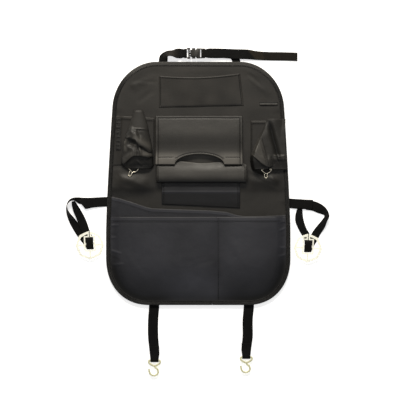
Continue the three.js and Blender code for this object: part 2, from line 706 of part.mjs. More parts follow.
// Top strap, left: out of the top edge, a half turn to the right, round the buckle's bar
add('top_strap_left', webbing([
  lying(-86, TOP_Y - STRAP_TUCK, STRAP_LYING, [1, 0.02, 0], 22),
  lying(-86, TOP_Y + 1, STRAP_LYING, [1, 0.02, 0], 22),
  lying(-84, TOP_Y + 11.5, 3.2, [0.8, -0.42, 0.3], 22),
  lying(-76, BUCKLE_Y - 1, 8.5, [0.25, -0.75, 0.75], 20),
  lying(-64, BUCKLE_Y, 9, [0, -0.8, 0.7], 21),
  lying(-52, BUCKLE_Y, 5.4, [0, -1, 0.14], 24),
  lying(-43, BUCKLE_Y, 2.5, [0, -1, 0], 24),
  lying(-35, BUCKLE_Y, 1.7, [0, -1, 0], 20),
  lying(-30, BUCKLE_Y, 1.9, [0, -1, 0], 18),
  lying(-28.2, BUCKLE_Y, 5, [0, -1, 0], 18),
  lying(-30, BUCKLE_Y, 8.6, [0, -1, 0], 18),
  lying(-36, BUCKLE_Y, 9, [0, -1, 0], 20),
  lying(-44, BUCKLE_Y, 5.6, [0, -1, 0], 23),
], { steps: 3 }), 'webbing');

// Top strap, right: out of the top edge, left to the buckle's bar, back over itself into a loose tail
add('top_strap_right', webbing([
  lying(95, TOP_Y - STRAP_TUCK, STRAP_LYING, ALONG_X, 20),
  lying(93, TOP_Y + 1, STRAP_LYING, [1, 0.1, 0], 20),
  lying(91, TOP_Y + 8.5, 0.9, [0.9, 0.5, 0], 20),
  lying(84, BUCKLE_Y - 3, 1, [0.55, 1, 0], 22),
  lying(70, BUCKLE_Y, 1, ALONG_Y, 23),
  lying(45, BUCKLE_Y, 1.4, ALONG_Y, 23),
  lying(25, BUCKLE_Y, 1.4, ALONG_Y, 22),
  lying(14, BUCKLE_Y, 1.4, ALONG_Y, 18),
  lying(9.2, BUCKLE_Y, 2.6, ALONG_Y, 18),
  lying(7.8, BUCKLE_Y, 5.6, ALONG_Y, 18),
  lying(9.6, BUCKLE_Y, 9, ALONG_Y, 18),
  lying(15, BUCKLE_Y, 10, ALONG_Y, 18),
  lying(25, BUCKLE_Y + 0.6, 8.4, ALONG_Y, 22),
  lying(50, BUCKLE_Y + 0.4, 5.6, ALONG_Y, 23),
  lying(90, BUCKLE_Y - 1.5, 4.2, [-0.02, 1, 0.02], 24),
  lying(122, BUCKLE_Y - 2.5, 4.6, [-0.06, 1, 0.05], 24),
  lying(142, BUCKLE_Y - 5, 3.4, [-0.05, 1, 0.12], 22),
  lying(170, BUCKLE_Y - 6.5, 1.2, ALONG_Y, 21),
  lying(205, BUCKLE_Y - 7, 1, ALONG_Y, 21),
  lying(243, BUCKLE_Y - 8, 1, ALONG_Y, 21),
], { steps: 3 }), 'webbing');

// Side release buckle: the male half with two springy arms, the female half with its webbing bar
const BUCKLE_UNDER = 0.6;
const half = BUCKLE_HEIGHT / 2;

function bothSides(x0, x1, y0, y1, z0, z1) {
  return [box(x0, x1, y0, y1, z0, z1), box(x0, x1, -y1, -y0, z0, z1)];
}

function buckleMale() {
  const body = box(-34, -21, -half + 2, half - 2, 3.2, 7);
  const arms = bothSides(-22, -5, 4.6, 6.9, 3.8, 6.4);
  const prongs = bothSides(-15.4, -7, 6.2, 12.8, 3.2, 7);
  const grips = bothSides(-27, -19.4, 9.1, half - 0.1, 3.2, 7);
  const guide = box(-22, -4, -2, 2, 4, 6.2);
  const slot = box(-30, -24.5, -half + 4, half - 4, 0, 12);
  return joined([body, ...arms, ...prongs, ...grips, guide], [slot]).translate(0, BUCKLE_Y, 0);
}

function buckleFemale() {
  const outline = [[-19, 8.6], [-6, 8.6], [-3, half - 1.2], [17, half - 2]];
  const mirrored = outline.map(([x, y]) => [x, -y]);
  const body = plate([...mirrored, ...outline.reverse()], [], BUCKLE_THICKNESS, 0.8);
  const slot = box(4.8, 11.4, -half + 3.8, half - 3.8, -2, 14);
  const hollow = box(-22, 1, -7.3, 7.3, 2.8, 7.4);
  const windows = bothSides(-16, -6.4, 5, 14, 2.8, 7.4);
  const thinner = [box(10, 18, -half - 1, half + 1, 7.6, 14), box(10, 18, -half - 1, half + 1, -2, 3)];
  const placed = body.translate(0, 0, BUCKLE_UNDER);
  return joined([placed], [slot, hollow, ...windows, ...thinner]).translate(0, BUCKLE_Y, 0);
}
add('buckle_male', buckleMale(), 'buckle');
add('buckle_female', buckleFemale(), 'buckle');

// Anchor discs: a broad eight-sided ring with four windows, a middle eye with a crossbar that the webbing
// goes round, and a slit to thread it through
const LEFT_DISC = { x: -SIDE_X - 39.5, y: -151, turn: 0.05, out: -1, reach: 26, lean: 9 };
const RIGHT_DISC = { x: SIDE_X + 42.5, y: -158, turn: -0.05, out: 1, reach: 19, lean: -8 };
const RING_WIDTH = 6.2;
const EYE = { halfWide: 10.8, top: 19.5, bottom: -12, frame: 3.2 };
const CROSSBAR = { low: 1, high: 6 };

function octagonal(angle, radius) {
  const eighth = Math.PI / 4;
  const off = (((angle % eighth) + eighth) % eighth) - eighth / 2;
  return radius * mix(1, Math.cos(eighth / 2) / Math.cos(off), 0.75);
}

function discWindow(sx, sy) {
  const inner = DISC_RADIUS - RING_WIDTH;
  const post = sy > 0 ? 4.4 : 2.2;
  const arm = 2.6;
  const frameEnd = sy > 0 ? EYE.top + EYE.frame : -EYE.bottom + EYE.frame;
  const start = Math.atan2(arm, inner);
  const stop = Math.atan2(inner, post);
  const points = [];
  for (let i = 0; i <= 6; i += 1) {
    const angle = mix(start, stop, i / 6);
    const r = octagonal(angle, inner);
    points.push([sx * r * Math.cos(angle), sy * r * Math.sin(angle)]);
  }
  points.push([sx * post, sy * frameEnd]);
  points.push([sx * (EYE.halfWide + EYE.frame), sy * frameEnd]);
  points.push([sx * (EYE.halfWide + EYE.frame), sy * arm]);
  return plate(sx * sy > 0 ? points : points.reverse(), [], 8).translate(0, 0, -2);
}

function anchorDisc({ x, y, turn }) {
  const rim = [];
  for (let i = 0; i < 32; i += 1) {
    const angle = (2 * Math.PI * i) / 32;
    const r = octagonal(angle, DISC_RADIUS);
    rim.push([r * Math.cos(angle), r * Math.sin(angle)]);
  }
  const windows = [discWindow(1, 1), discWindow(-1, 1), discWindow(1, -1), discWindow(-1, -1)];
  const body = plate(rim, [], DISC_THICKNESS, 0.5);
  const upperEye = box(-EYE.halfWide, EYE.halfWide, CROSSBAR.high, EYE.top, -2, 6);
  const lowerEye = box(-EYE.halfWide, EYE.halfWide, EYE.bottom, CROSSBAR.low, -2, 6);
  const slit = box(-1, 1, EYE.top - 1, DISC_RADIUS + 2, -2, 6);
  return joined([body], [upperEye, lowerEye, slit, ...windows]).rotateZ(turn).translate(x, y, DISC_LIFT);
}
add('anchor_disc_left', anchorDisc(LEFT_DISC), 'clear');
add('anchor_disc_right', anchorDisc(RIGHT_DISC), 'clear');

// Side straps, sewn to the webbing loops that carry the discs
add('side_strap_left', webbing([
  lying(-halfWidth(-45) + STRAP_TUCK, -45, STRAP_LYING, ALONG_Y, 24),
  lying(-halfWidth(-45) - 2, -45, STRAP_LYING, ALONG_Y, 24),
  lying(-SIDE_X - 18.5, -46, 2.2, ALONG_Y, 24),
  lying(-SIDE_X - 36.5, -47.5, 3.4, [-0.05, 1, 0], 25),
  lying(-SIDE_X - 49.5, -49.5, 3.6, [-0.35, 1, 0], 27),
  lying(-SIDE_X - 59.5, -52, 4, [-0.8, 1, 0], 27),
], { steps: 3 }), 'webbing');
add('side_strap_right', webbing([
  lying(halfWidth(-50) - STRAP_TUCK, -49, STRAP_LYING, ALONG_Y, 24),
  lying(halfWidth(-50) + 2, -49, STRAP_LYING, ALONG_Y, 24),
  lying(SIDE_X + 12.5, -50, 3.1, ALONG_Y, 24),
  lying(SIDE_X + 22.5, -50.5, 3.6, ALONG_Y, 24),
  lying(SIDE_X + 36.5, -51.5, 3.6, [0.05, 1, 0], 24),
  lying(SIDE_X + 54.5, -52, 3.6, [0.08, 1, 0], 24),
], { steps: 3 }), 'webbing');

// Stops where a loop goes round its disc's crossbar: in behind the disc from its outer side, up through
// the lower eye, over the bar, down through the upper eye and out behind the disc again
function throughDisc({ x, y, turn, out, reach, lean }) {
  const at = (dx, dy, z, across, wide) => {
    const offX = out * dx;
    return lying(x + offX - dy * Math.sin(turn), y + dy + offX * Math.sin(turn), z, across, wide);
  };
  return [
    at(reach, 36, 0.8, [1, -out * 0.35, 0], 20),
    at(0.7 * reach, 23, 0.7, [1, -out * 0.35, 0], 20),
    at(0.35 * reach, 8, 0.7, [1, -out * 0.3, 0], 18),
    at(2, -4, 0.7, [1, -out * 0.1, 0], 18),
    at(0, -8.6, 1.9, ALONG_X, 18),
    at(0, -9.8, 5, ALONG_X, 18),
    at(0, -8, 8.1, ALONG_X, 18),
    at(0, -1, 8.6, ALONG_X, 18),
    at(0, 8, 8.6, ALONG_X, 18),
    at(0, 14.2, 7.9, ALONG_X, 18),
    at(0, 16.4, 5, ALONG_X, 18),
    at(0.07 * lean, 19, 2.7, ALONG_X, 18),
    at(0.5 * lean, 27, 2.5, ALONG_X, 18),
    at(lean, 35, 2.6, [1, -out * 0.02 * lean, 0], 20),
  ];
}

add('disc_loop_left', webbing([
  lying(-SIDE_X - 38.5, -46, 1.2, ALONG_Y, 22),
  lying(-SIDE_X - 54.5, -44, 1.2, [0.1, 1, 0], 18),
  lying(-SIDE_X - 67.5, -41.5, 1.5, [0.2, 1, 0.1], 15),
  lying(-SIDE_X - 78, -38.5, 6.6, [0, 0.5, 1], 15),
  lying(-SIDE_X - 88, -42, 10.6, [0, 0.2, 1], 19),
  lying(-SIDE_X - 95.5, -54, 11, [0.12, 0.1, 1], 19),
  lying(-SIDE_X - 94, -68, 9.6, [0.35, 0.05, 0.95], 20),
  lying(-SIDE_X - 86.5, -83, 6.6, [0.75, 0, 0.65], 21),
  lying(-SIDE_X - 77.5, -99, 3.1, [1, 0.1, 0.22], 21),
  ...throughDisc(LEFT_DISC),
  lying(-SIDE_X - 57, -98, 3.6, [1, 0.25, 0.05], 21),
  lying(-SIDE_X - 63.5, -82, 5.4, [1, 0.35, 0.1], 20),
  lying(-SIDE_X - 71.5, -65, 8.6, [1, 0.4, 0.2], 18),
  lying(-SIDE_X - 77, -52, 10.6, [0.9, 0.3, 0.5], 15),
  lying(-SIDE_X - 79.5, -43.5, 11.6, [0.8, 0.2, 0.8], 12),
], { steps: 3 }), 'webbing');

add('disc_loop_right', webbing([
  lying(SIDE_X + 38.5, -54, 1.2, ALONG_Y, 22),
  lying(SIDE_X + 54.5, -55, 1.4, [0.1, 1, 0], 24),
  lying(SIDE_X + 70, -61, 3.4, [0.3, 1, 0.2], 24),
  lying(SIDE_X + 83.5, -69.5, 6.2, [0.5, 0.8, 0.7], 20),
  lying(SIDE_X + 89, -79, 6.8, [0.9, 0.1, 0.9], 15),
  lying(SIDE_X + 83, -92, 5.2, [1, -0.2, 0.7], 15),
  lying(SIDE_X + 75, -106, 2.4, [1, -0.3, 0.2], 19),
  ...throughDisc(RIGHT_DISC),
  lying(SIDE_X + 29, -110, 2.8, [1, -0.05, 0], 21),
  lying(SIDE_X + 22.5, -92, 2.4, [1, 0.05, 0], 21),
  lying(SIDE_X + 21.5, -76, 1.4, [1, 0, 0], 18),
  lying(SIDE_X + 23.5, -60, 1, [1, 0, 0], 12),
], { steps: 3 }), 'webbing');

// Bottom straps and the plastic hooks that turn in their loops
function bottomStrap(x0, x1, x2, lift) {
  const r = BAR_RADIUS + 1.5 * WIRE_CLEARANCE + STRAP_THICKNESS / 2;
  const z = r + STRAP_LYING;
  const wide = 20;
  const y = HOOK_BAR_Y + lift;
  return webbing([
    lying(x0, -TOP_Y + STRAP_TUCK, STRAP_LYING, ALONG_X),
    lying(x0, -TOP_Y - 2, STRAP_LYING, ALONG_X),
    lying(x1, -335, STRAP_LYING, [1, 0.02, 0]),
    lying(x1, -375, STRAP_LYING, [1, -0.02, 0]),
    lying(x2, y + 18, STRAP_LYING, ALONG_X, 24),
    lying(x2, y + 3, STRAP_LYING, ALONG_X, wide),
    lying(x2, y - r * 0.7, z - r * 0.72, ALONG_X, wide),
    lying(x2, y - r, z, ALONG_X, wide),
    lying(x2, y - r * 0.7, z + r * 0.72, ALONG_X, wide),
    lying(x2, y + 2.5, z + r * 0.86, ALONG_X, wide),
    lying(x2, y + 12, z, ALONG_X, 22),
    lying(x2, y + 20, 2.9, ALONG_X, 23),
    lying(x2, y + 34, 2.6, ALONG_X, 23),
  ], { steps: 3 });
}

function bottomHook(x, y) {
  const z = BAR_RADIUS + 1.5 * WIRE_CLEARANCE + STRAP_THICKNESS;
  const outX = 13.9;
  return joined([
    rod([[x - outX, y, z], [x + outX, y, z]], BAR_RADIUS, { steps: 1 }),
    rod([[x - outX + 0.5, y, z], [x - outX, y - 5, z], [x - 8, y - 10.5, z], [x, y - 14, z]], BAR_RADIUS, { steps: 6, sides: 7 }),
    rod([[x + outX - 0.5, y, z], [x + outX, y - 5, z], [x + 8, y - 10.5, z], [x, y - 14, z]], BAR_RADIUS, { steps: 6, sides: 7 }),
    rod([
      [x, y - 12, z], [x + 2, y - 17, z], [x + 8, y - 23, z], [x + 8.6, y - 31, z], [x + 1, y - 37, z],
      [x - 8, y - 35, z], [x - 12.4, y - 28, z], [x - 13.6, y - 21, z],
    ], BAR_RADIUS, { steps: 18, sides: 7 }),
  ]);
}
add('bottom_strap_left', bottomStrap(-108, -110.5, -107, 0), 'webbing');
add('bottom_strap_right', bottomStrap(124, 121, 117.5, 8), 'webbing');
add('bottom_hook_left', bottomHook(-107, HOOK_BAR_Y), 'clear');
add('bottom_hook_right', bottomHook(117.5, HOOK_BAR_Y + 8), 'clear');

export default organizer;
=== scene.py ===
import math
import bmesh
import bpy
import numpy as np
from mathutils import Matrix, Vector


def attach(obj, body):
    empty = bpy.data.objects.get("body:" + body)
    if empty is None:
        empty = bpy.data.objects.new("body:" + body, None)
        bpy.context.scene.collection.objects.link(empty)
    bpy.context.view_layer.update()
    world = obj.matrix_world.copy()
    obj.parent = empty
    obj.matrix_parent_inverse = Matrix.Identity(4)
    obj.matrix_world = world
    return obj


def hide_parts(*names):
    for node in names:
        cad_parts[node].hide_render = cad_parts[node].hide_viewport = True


# A car seat back organizer lying face up. Lengths below are millimetres, turned to metres in the meshes.
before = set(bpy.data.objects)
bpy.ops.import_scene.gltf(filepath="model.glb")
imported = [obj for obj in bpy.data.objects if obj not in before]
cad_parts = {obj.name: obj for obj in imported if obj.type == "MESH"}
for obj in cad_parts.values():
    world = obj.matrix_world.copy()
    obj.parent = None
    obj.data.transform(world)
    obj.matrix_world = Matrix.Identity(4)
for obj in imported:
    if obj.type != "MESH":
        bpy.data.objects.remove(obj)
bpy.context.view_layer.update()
MM = 0.001
BODY = "organizer"

# Driving sizes and places in millimetres
PANEL_WIDTH = 451
PANEL_HEIGHT = 595
PANEL_THICKNESS = 5.6
SIDE_X = PANEL_WIDTH / 2
TOP_Y = PANEL_HEIGHT / 2
TOP_NARROWING = 23
NARROWING_START = -119
TOP_CORNER = {"wide": 100.0, "high": 110.0, "round": 2.0}
BOTTOM_CORNER = {"wide": 106.0, "high": 118.0, "round": 2.2}
LEATHER = 1.0
FLAP_THICKNESS = 1.6
LOWER_FLAP_THICKNESS = 1.2
POUCH_THICKNESS = 1.4
LAYER_GAP = 0.3
LAYER_STEP = LEATHER + LAYER_GAP
BINDING_WIDTH = 11
BINDING_JOINT_X = 34
EDGE = 1.9
POCKET_EDGE = EDGE + LAYER_GAP
RIM_UNDER = 2.8
RIM_TOP = 6.4
STRAP_WIDTH = 25
STRAP_THICKNESS = 1.4
STRAP_TUCK = 14
HEM_Y = -82
HEM_STITCH = 10.4
REAR_HEM_STITCH = 9.9
DIVIDER_X = 49
REAR_BULGE = 6.5
FRONT_BULGE = 7.5
SIDE_BULGE = 5
SIDE_POCKET_BOTTOM = 45
SIDE_POCKET_TOP = 165
LEFT_BACKING_EDGE = 105.5
RIGHT_BACKING_EDGE = 128
PATCH_WIDTH = 202
PATCH_HEIGHT = 78
LEFT_CUP_SPAN = (178, 36)
RIGHT_CUP_SPAN = (157, 34)
POUCH_LEFT = -102
POUCH_RIGHT = 118
LOWER_FLAP_LEFT = -89
LOWER_FLAP_RIGHT = 102
LOWER_FLAP_FOLD_Y = -21
FLAP_TOP_Y = 165
FLAP_BOTTOM_Y = 46
FLAP_LEFT = -104
FLAP_RIGHT = 108
ARCH_X = 3
ARCH_HALF_WIDTH = 60
ARCH_HEIGHT = 25
BUCKLE_Y = 318
WIRE_HOOK_Z = 10.2
TAB_THICKNESS = 0.8
WIRE_HOOKS = {"left": (-158, 38, -0.3), "right": (167, 35, 0.1)}
WIRE_RADIUS = 1.15
WIRE_DRAWN_RADIUS = 1.3
WIRE_CLEARANCE = 0.45
BOTTOM_HOOKS = {"left": (-107, -433), "right": (117.5, -425)}
BAR_RADIUS = 2.3
BAR_CLEARANCE = 1.5 * WIRE_CLEARANCE


# Small numeric helpers, all on numpy arrays
WAVES_ADDED = 14


def ramp(a, b, value):
    t = np.clip((np.asarray(value, float) - a) / (b - a), 0, 1)
    return t * t * (3 - 2 * t)


def bump(value, centre, spread):
    return np.exp(-(((np.asarray(value, float) - centre) / spread) ** 2))


def mix(a, b, t):
    return a + (b - a) * t


def along(pairs, key):
    """Reads a line of (key, value) pairs at a key."""
    keys, values = np.array(pairs, float).T
    if keys[0] > keys[-1]:
        keys, values = keys[::-1], values[::-1]
    return np.interp(key, keys, values)


def waves(x, y, size, seed):
    """Smooth seeded unevenness of about -1 to 1 with features of one size."""
    rng = np.random.default_rng(seed)
    total = np.zeros(np.broadcast(x, y).shape)
    for _ in range(WAVES_ADDED):
        angle = rng.uniform(0, 2 * math.pi)
        length = size * rng.uniform(0.7, 1.6)
        phase = rng.uniform(0, 2 * math.pi)
        total += np.sin(2 * math.pi * (x * math.cos(angle) + y * math.sin(angle)) / length + phase)
    return total / math.sqrt(WAVES_ADDED) / 1.6


def crease(x, y, a, b, width, height):
    """A ridge or valley along the line from a to b that fades at both ends."""
    ax, ay = a
    bx, by = b
    length = math.hypot(bx - ax, by - ay)
    ux, uy = (bx - ax) / length, (by - ay) / length
    s = ((x - ax) * ux + (y - ay) * uy) / length
    d = (x - ax) * -uy + (y - ay) * ux
    fade = np.clip(s, 0, 1) * np.clip(1 - s, 0, 1) * 4
    fade = np.clip(fade, 0, 1) ** 0.7
    return height * fade * bump(d, 0, width)


def lines(x, y, rows):
    """Ridges, or bright and dark lines, each (from, to, width, height)."""
    total = 0
    for a, b, width, height in rows:
        total = total + crease(x, y, a, b, width, height)
    return total


def half_width(y, inset=0.0):
    y = np.asarray(y, float)
    taper = np.maximum(0, (y - NARROWING_START) / (TOP_Y - NARROWING_START))
    side = PANEL_WIDTH / 2 - TOP_NARROWING * taper ** 1.3 - inset
    corner_high, wide, power = (
        np.where(y > 0, TOP_CORNER[key], BOTTOM_CORNER[key]) for key in ("high", "wide", "round"))
    high = corner_high - inset
    wide = wide - inset
    s = np.clip((np.abs(y) - (TOP_Y - corner_high)) / high, 0, 1)
    return side - wide + wide * (1 - s ** power) ** (1 / power)


def inset_of(x, y):
    x, y = np.broadcast_arrays(np.asarray(x, float), np.asarray(y, float))
    near = np.zeros(x.shape)
    far = np.minimum(90.0, TOP_Y - np.abs(y))
    for _ in range(20):
        middle = (near + far) / 2
        inside = np.abs(x) < half_width(y, middle)
        near = np.where(inside, middle, near)
        far = np.where(inside, far, middle)
    return near


# Heights of the layers, the same as the solids'
def panel_top(x, y):
    inset = inset_of(x, y)
    rear = ramp(-8, -24, y)
    front = ramp(-40, -56, y)
    sides = ramp(30, 42, y) * ramp(182, 170, y) * ramp(96, 108, np.abs(x))
    rim = RIM_TOP - LAYER_STEP * (rear + front + sides)
    inner = PANEL_THICKNESS - 1.2 * rear - 0.2 * sides
    beside = ramp(112, 140, np.abs(x))
    ridge = 4.2 * bump(y, 6, 15) * beside * ramp(12, 40, inset)
    slump = 1.4 * bump(x + y * 0.4, -150, 26) * bump(y, -6, 22) * ramp(12, 40, inset)
    return mix(rim, inner, ramp(11, 32, inset)) + ridge + slump


def panel_under(x, y):
    return RIM_UNDER * (1 - ramp(STRAP_TUCK + 3, STRAP_TUCK + 22, inset_of(x, y)))


MOUTH = [
    [-219, -29], [-194, -33], [-170, -37], [-144, -44], [-123, -51], [-103, -58], [-91, -61],
    [-59, -62.5], [20, -66], [54, -70], [73, -77], [92, -80.5], [130, -80], [181, -78], [219, -75],
]


def rear_middle(x, y):
    inset = inset_of(x, y)
    rim = RIM_TOP - LAYER_STEP * ramp(-58, -74, y) - LEATHER / 2
    inner = PANEL_THICKNESS - 1.2 + LAYER_GAP + LEATHER / 2
    share = np.cos(math.pi / 2 * np.minimum(1, np.abs(x) / half_width(y, BINDING_WIDTH)))
    fullness = share ** 0.6 * ramp(-292, -180, y)
    wave = 1.6 * bump(x, -150, 34) * ramp(-82, -40, y) - 1.2 * bump(x, 100, 40) * ramp(-95, -70, y)
    bulge = np.maximum(0, REAR_BULGE * fullness + wave * share)
    return mix(rim, inner, ramp(11, 32, inset)) + bulge * ramp(11, 32, inset)


def front_middle(x, y):
    inset = inset_of(x, y)
    left = (x + 212) / (DIVIDER_X + 212)
    right = (x - DIVIDER_X) / (216 - DIVIDER_X)
    share = np.clip(np.where(x < DIVIDER_X, left, right), 0, 1)
    fullness = np.maximum(0, np.sin(math.pi * share)) ** 0.7
    bulge = FRONT_BULGE * fullness * ramp(-294, -200, y) * (1 - 0.1 * ramp(-110, -82, y))
    return rear_middle(x, y) + LAYER_STEP + 0.18 * ramp(2, 9, inset) + bulge * ramp(14, 36, inset)


def backing_middle(x, y, inner):
    outer = half_width(y, POCKET_EDGE)
    u = np.clip((outer - np.abs(x)) / (outer - inner), 0, 1)
    v = np.clip((SIDE_POCKET_TOP - y) / (SIDE_POCKET_TOP - SIDE_POCKET_BOTTOM), 0, 1)
    full = SIDE_BULGE * np.sin(math.pi * u) ** 0.7 * (1 - v) ** 0.5
    return panel_top(x, y) + LAYER_GAP + LEATHER / 2 + full * ramp(11, 30, inset_of(x, y))


# Meshes, and the upper face of each by its name
FACES = {}


def grid_mesh(name, face, back, tone=None):
    """A closed sheet between two grids of points, with UVs in metres and a tone at each point that mostly
    paints light and shade.
    """
    rows, cols = face.shape[:2]
    count = rows * cols
    points = np.concatenate([face.reshape(-1, 3), back.reshape(-1, 3)]) * MM
    i = np.arange(count).reshape(rows, cols)
    a, b, c, d = i[:-1, :-1], i[1:, :-1], i[1:, 1:], i[:-1, 1:]
    top = np.stack([a, b, c, d], -1).reshape(-1, 4)
    under = np.stack([a, d, c, b], -1).reshape(-1, 4) + count

    def wall(line):
        return np.stack([line[1:], line[:-1], line[:-1] + count, line[1:] + count], -1)
    walls = np.concatenate([wall(i[:, 0]), wall(i[-1, :]), wall(i[::-1, -1]), wall(i[0, ::-1])])
    faces = np.concatenate([top, under, walls])
    across = np.linalg.norm(np.diff(face, axis=1), axis=2)
    down = np.linalg.norm(np.diff(face, axis=0), axis=2)
    u = np.concatenate([np.zeros((rows, 1)), np.cumsum(across, 1)], 1)
    u = u - u[:, cols // 2][:, None]
    v = np.concatenate([np.zeros((1, cols)), np.cumsum(down, 0)], 0)
    flat = np.stack([u.ravel(), v.ravel()], -1) * MM
    flat = np.concatenate([flat, flat])
    mesh = bpy.data.meshes.new(name)
    mesh.from_pydata(points.tolist(), [], faces.tolist())
    mesh.update()
    uv = mesh.uv_layers.new(name="cloth")
    loops = np.empty(len(mesh.loops), dtype=np.int32)
    mesh.loops.foreach_get("vertex_index", loops)
    uv.data.foreach_set("uv", flat[loops].ravel())
    if tone is not None:
        shade = np.concatenate([np.broadcast_to(tone, face.shape[:2]).ravel()] * 2)
        mesh.attributes.new("tone", "FLOAT", "POINT").data.foreach_set("value", shade.astype(np.float32))
    obj = bpy.data.objects.new(name, mesh)
    bpy.context.scene.collection.objects.link(obj)
    mesh.shade_smooth()
    recalc(obj)
    FACES[name] = face if face[..., 2].mean() > back[..., 2].mean() else back
    return obj


def recalc(obj):
    work = bmesh.new()
    work.from_mesh(obj.data)
    bmesh.ops.recalc_face_normals(work, faces=work.faces)
    if work.calc_volume(signed=True) < 0:
        bmesh.ops.reverse_faces(work, faces=work.faces)
    work.to_mesh(obj.data)
    work.free()


def on_face(name, us, vs, lift):
    """Points on a piece's upper surface at shares us across and vs down."""
    face = FACES[name]
    rows, cols = face.shape[:2]
    out = []
    for u, v in zip(us, vs):
        a, b = min(1, max(0, u)) * (cols - 1), min(1, max(0, v)) * (rows - 1)
        i, j = min(cols - 2, int(a)), min(rows - 2, int(b))
        s, t = a - i, b - j
        upper = mix(face[j, i], face[j, i + 1], s)
        lower = mix(face[j + 1, i], face[j + 1, i + 1], s)
        out.append(mix(upper, lower, t) + np.array([0, 0, lift]))
    return np.array(out)


def offset_cloth(name, middle, thickness, tone=None, roll=0):
    """A sheet of one thickness about a grid of middle points, its face rolled down at an edge by roll."""
    du = np.gradient(middle, axis=1)
    dv = np.gradient(middle, axis=0)
    normal = np.cross(dv, du)
    normal /= np.maximum(1e-9, np.linalg.norm(normal, axis=2, keepdims=True))
    if normal[..., 2].mean() <= 0:
        normal = -normal
    face = middle + normal * (thickness / 2 - np.asarray(roll)[..., None])
    return grid_mesh(name, face, middle - normal * thickness / 2, tone)


def level_cloth(name, x, y, z, thickness, tone=None, roll=0):
    up = np.stack([x, y, z + thickness / 2 - roll], -1)
    down = np.stack([x, y, z - thickness / 2], -1)
    return grid_mesh(name, up, down, tone)


def rolled(depth, reach=2.4, drop=0.7):
    """How far a folded hem's face is down at a distance from its edge."""
    return drop * np.clip(1 - depth / reach, 0, 1) ** 2


def grid(nu, nv):
    u = np.linspace(0, 1, nu)[None, :].repeat(nv, 0)
    v = np.linspace(0, 1, nv)[:, None].repeat(nu, 1)
    return u, v


# Materials
class Material:
    """A material under construction: its shader, and nodes that feed it."""
    def __init__(self, name):
        self.material = bpy.data.materials.new(name)
        self.material.use_nodes = True
        self.tree = self.material.node_tree
        self.place = self.tree.nodes.new("ShaderNodeTexCoord")

    def fill(self, made, sockets):
        """Links or sets a node's sockets, each by its name or number."""
        for key, value in sockets.items():
            if isinstance(value, bpy.types.NodeSocket):
                self.tree.links.new(value, made.inputs[key])
            else:
                made.inputs[key].default_value = value
        return made

    def add(self, kind, sockets, **settings):
        made = self.tree.nodes.new("ShaderNode" + kind)
        for key, value in settings.items():
            setattr(made, key, value)
        return self.fill(made, sockets)

    def maths(self, operation, *values):
        return self.add("Math", dict(enumerate(values)), operation=operation).outputs[0]

    def noise(self, scale, detail, roughness=0.5):
        sockets = {"Scale": scale, "Detail": detail, "Roughness": roughness}
        return self.add("TexNoise", {"Vector": self.place.outputs["Object"], **sockets}).outputs["Fac"]

    # The per-point tone: mostly painted light and shade, with some darker seams and random tone.
    def tone(self):
        return self.add("Attribute", {}, attribute_name="tone").outputs["Fac"]

    def blend(self, share, dark, light, low=0.0, high=1.0):
        """A colour from dark to light as share goes from low to high."""
        made = self.add("ValToRGB", {"Fac": share})
        first, last = made.color_ramp.elements
        first.position, last.position = low, high
        first.color, last.color = (*dark, 1), (*light, 1)
        return made.outputs["Color"]

    def bumps(self, *rows):
        """The normal after bumps of (height, strength, distance), one over another."""
        sockets = {}
        for height, strength, distance in rows:
            sockets.update({"Height": height, "Strength": strength, "Distance": distance})
            sockets["Normal"] = self.add("Bump", sockets).outputs["Normal"]
        return sockets["Normal"]

    def finish(self, sockets):
        self.fill(self.tree.nodes["Principled BSDF"], sockets)
        return self.material


def leather(name, dark, light, rough):
    """Grained leather, darker or lighter by the tone at each point, which mostly paints light and shade."""
    m = Material(name)
    soft = m.noise(55, 4, 0.55)
    grain = m.add("TexVoronoi", {"Vector": m.place.outputs["Object"], "Scale": 900}, feature="SMOOTH_F1")
    colour = m.blend(m.noise(14, 6, 0.6), dark, light, 0.3, 0.72)
    shaded = m.add("VectorMath", {0: colour, "Scale": m.maths("ADD", m.tone(), 1)}, operation="SCALE")
    gloss = m.add("MapRange", {"Value": soft, "To Min": rough - 0.07, "To Max": rough + 0.08})
    rows = [(soft, 0.7, 0.0006), (grain.outputs["Distance"], 0.6, 0.00022), (m.noise(2400, 2), 0.25, 0.0001)]
    return m.finish({
        "Base Color": shaded.outputs["Vector"], "Roughness": gloss.outputs["Result"],
        "Specular IOR Level": 0.35, "Normal": m.bumps(*rows),
    })


def woven(name, dark, light, second, pitch, rough, specular):
    """Tape and webbing: ribs across the run and finer threads along it, mixed toward a second colour by the
    tone: a painted highlight on the tape, brown on the webbing.
    """
    m = Material(name)
    split = m.add("SeparateXYZ", {"Vector": m.place.outputs["UV"]})
    ribs = [
        m.maths("SINE", m.maths("MULTIPLY", split.outputs[axis], 2 * math.pi / (step * MM)))
        for axis, step in (("Y", pitch), ("X", pitch * 1.5))
    ]
    colour = m.blend(m.noise(60, 5), dark, light, 0.3, 0.75)
    highlight_and_brown_mix = m.add("MixRGB", {"Fac": m.tone(), "Color1": colour, "Color2": (*second, 1)})
    return m.finish({
        "Base Color": highlight_and_brown_mix.outputs["Color"], "Roughness": rough, "Specular IOR Level": specular,
        "Sheen Weight": 0.04, "Sheen Roughness": 0.5,
        "Normal": m.bumps((m.maths("MULTIPLY", *ribs), 0.8, 0.0003), (m.noise(1800, 2), 0.4, 0.0001)),
    })


def moulded(name, colour, rough):
    m = Material(name)
    return m.finish({
        "Base Color": m.blend(m.noise(90, 5), colour, [c * 1.35 for c in colour]), "Roughness": rough,
        "Normal": m.bumps((m.noise(1500, 3), 0.3, 0.0001)),
    })


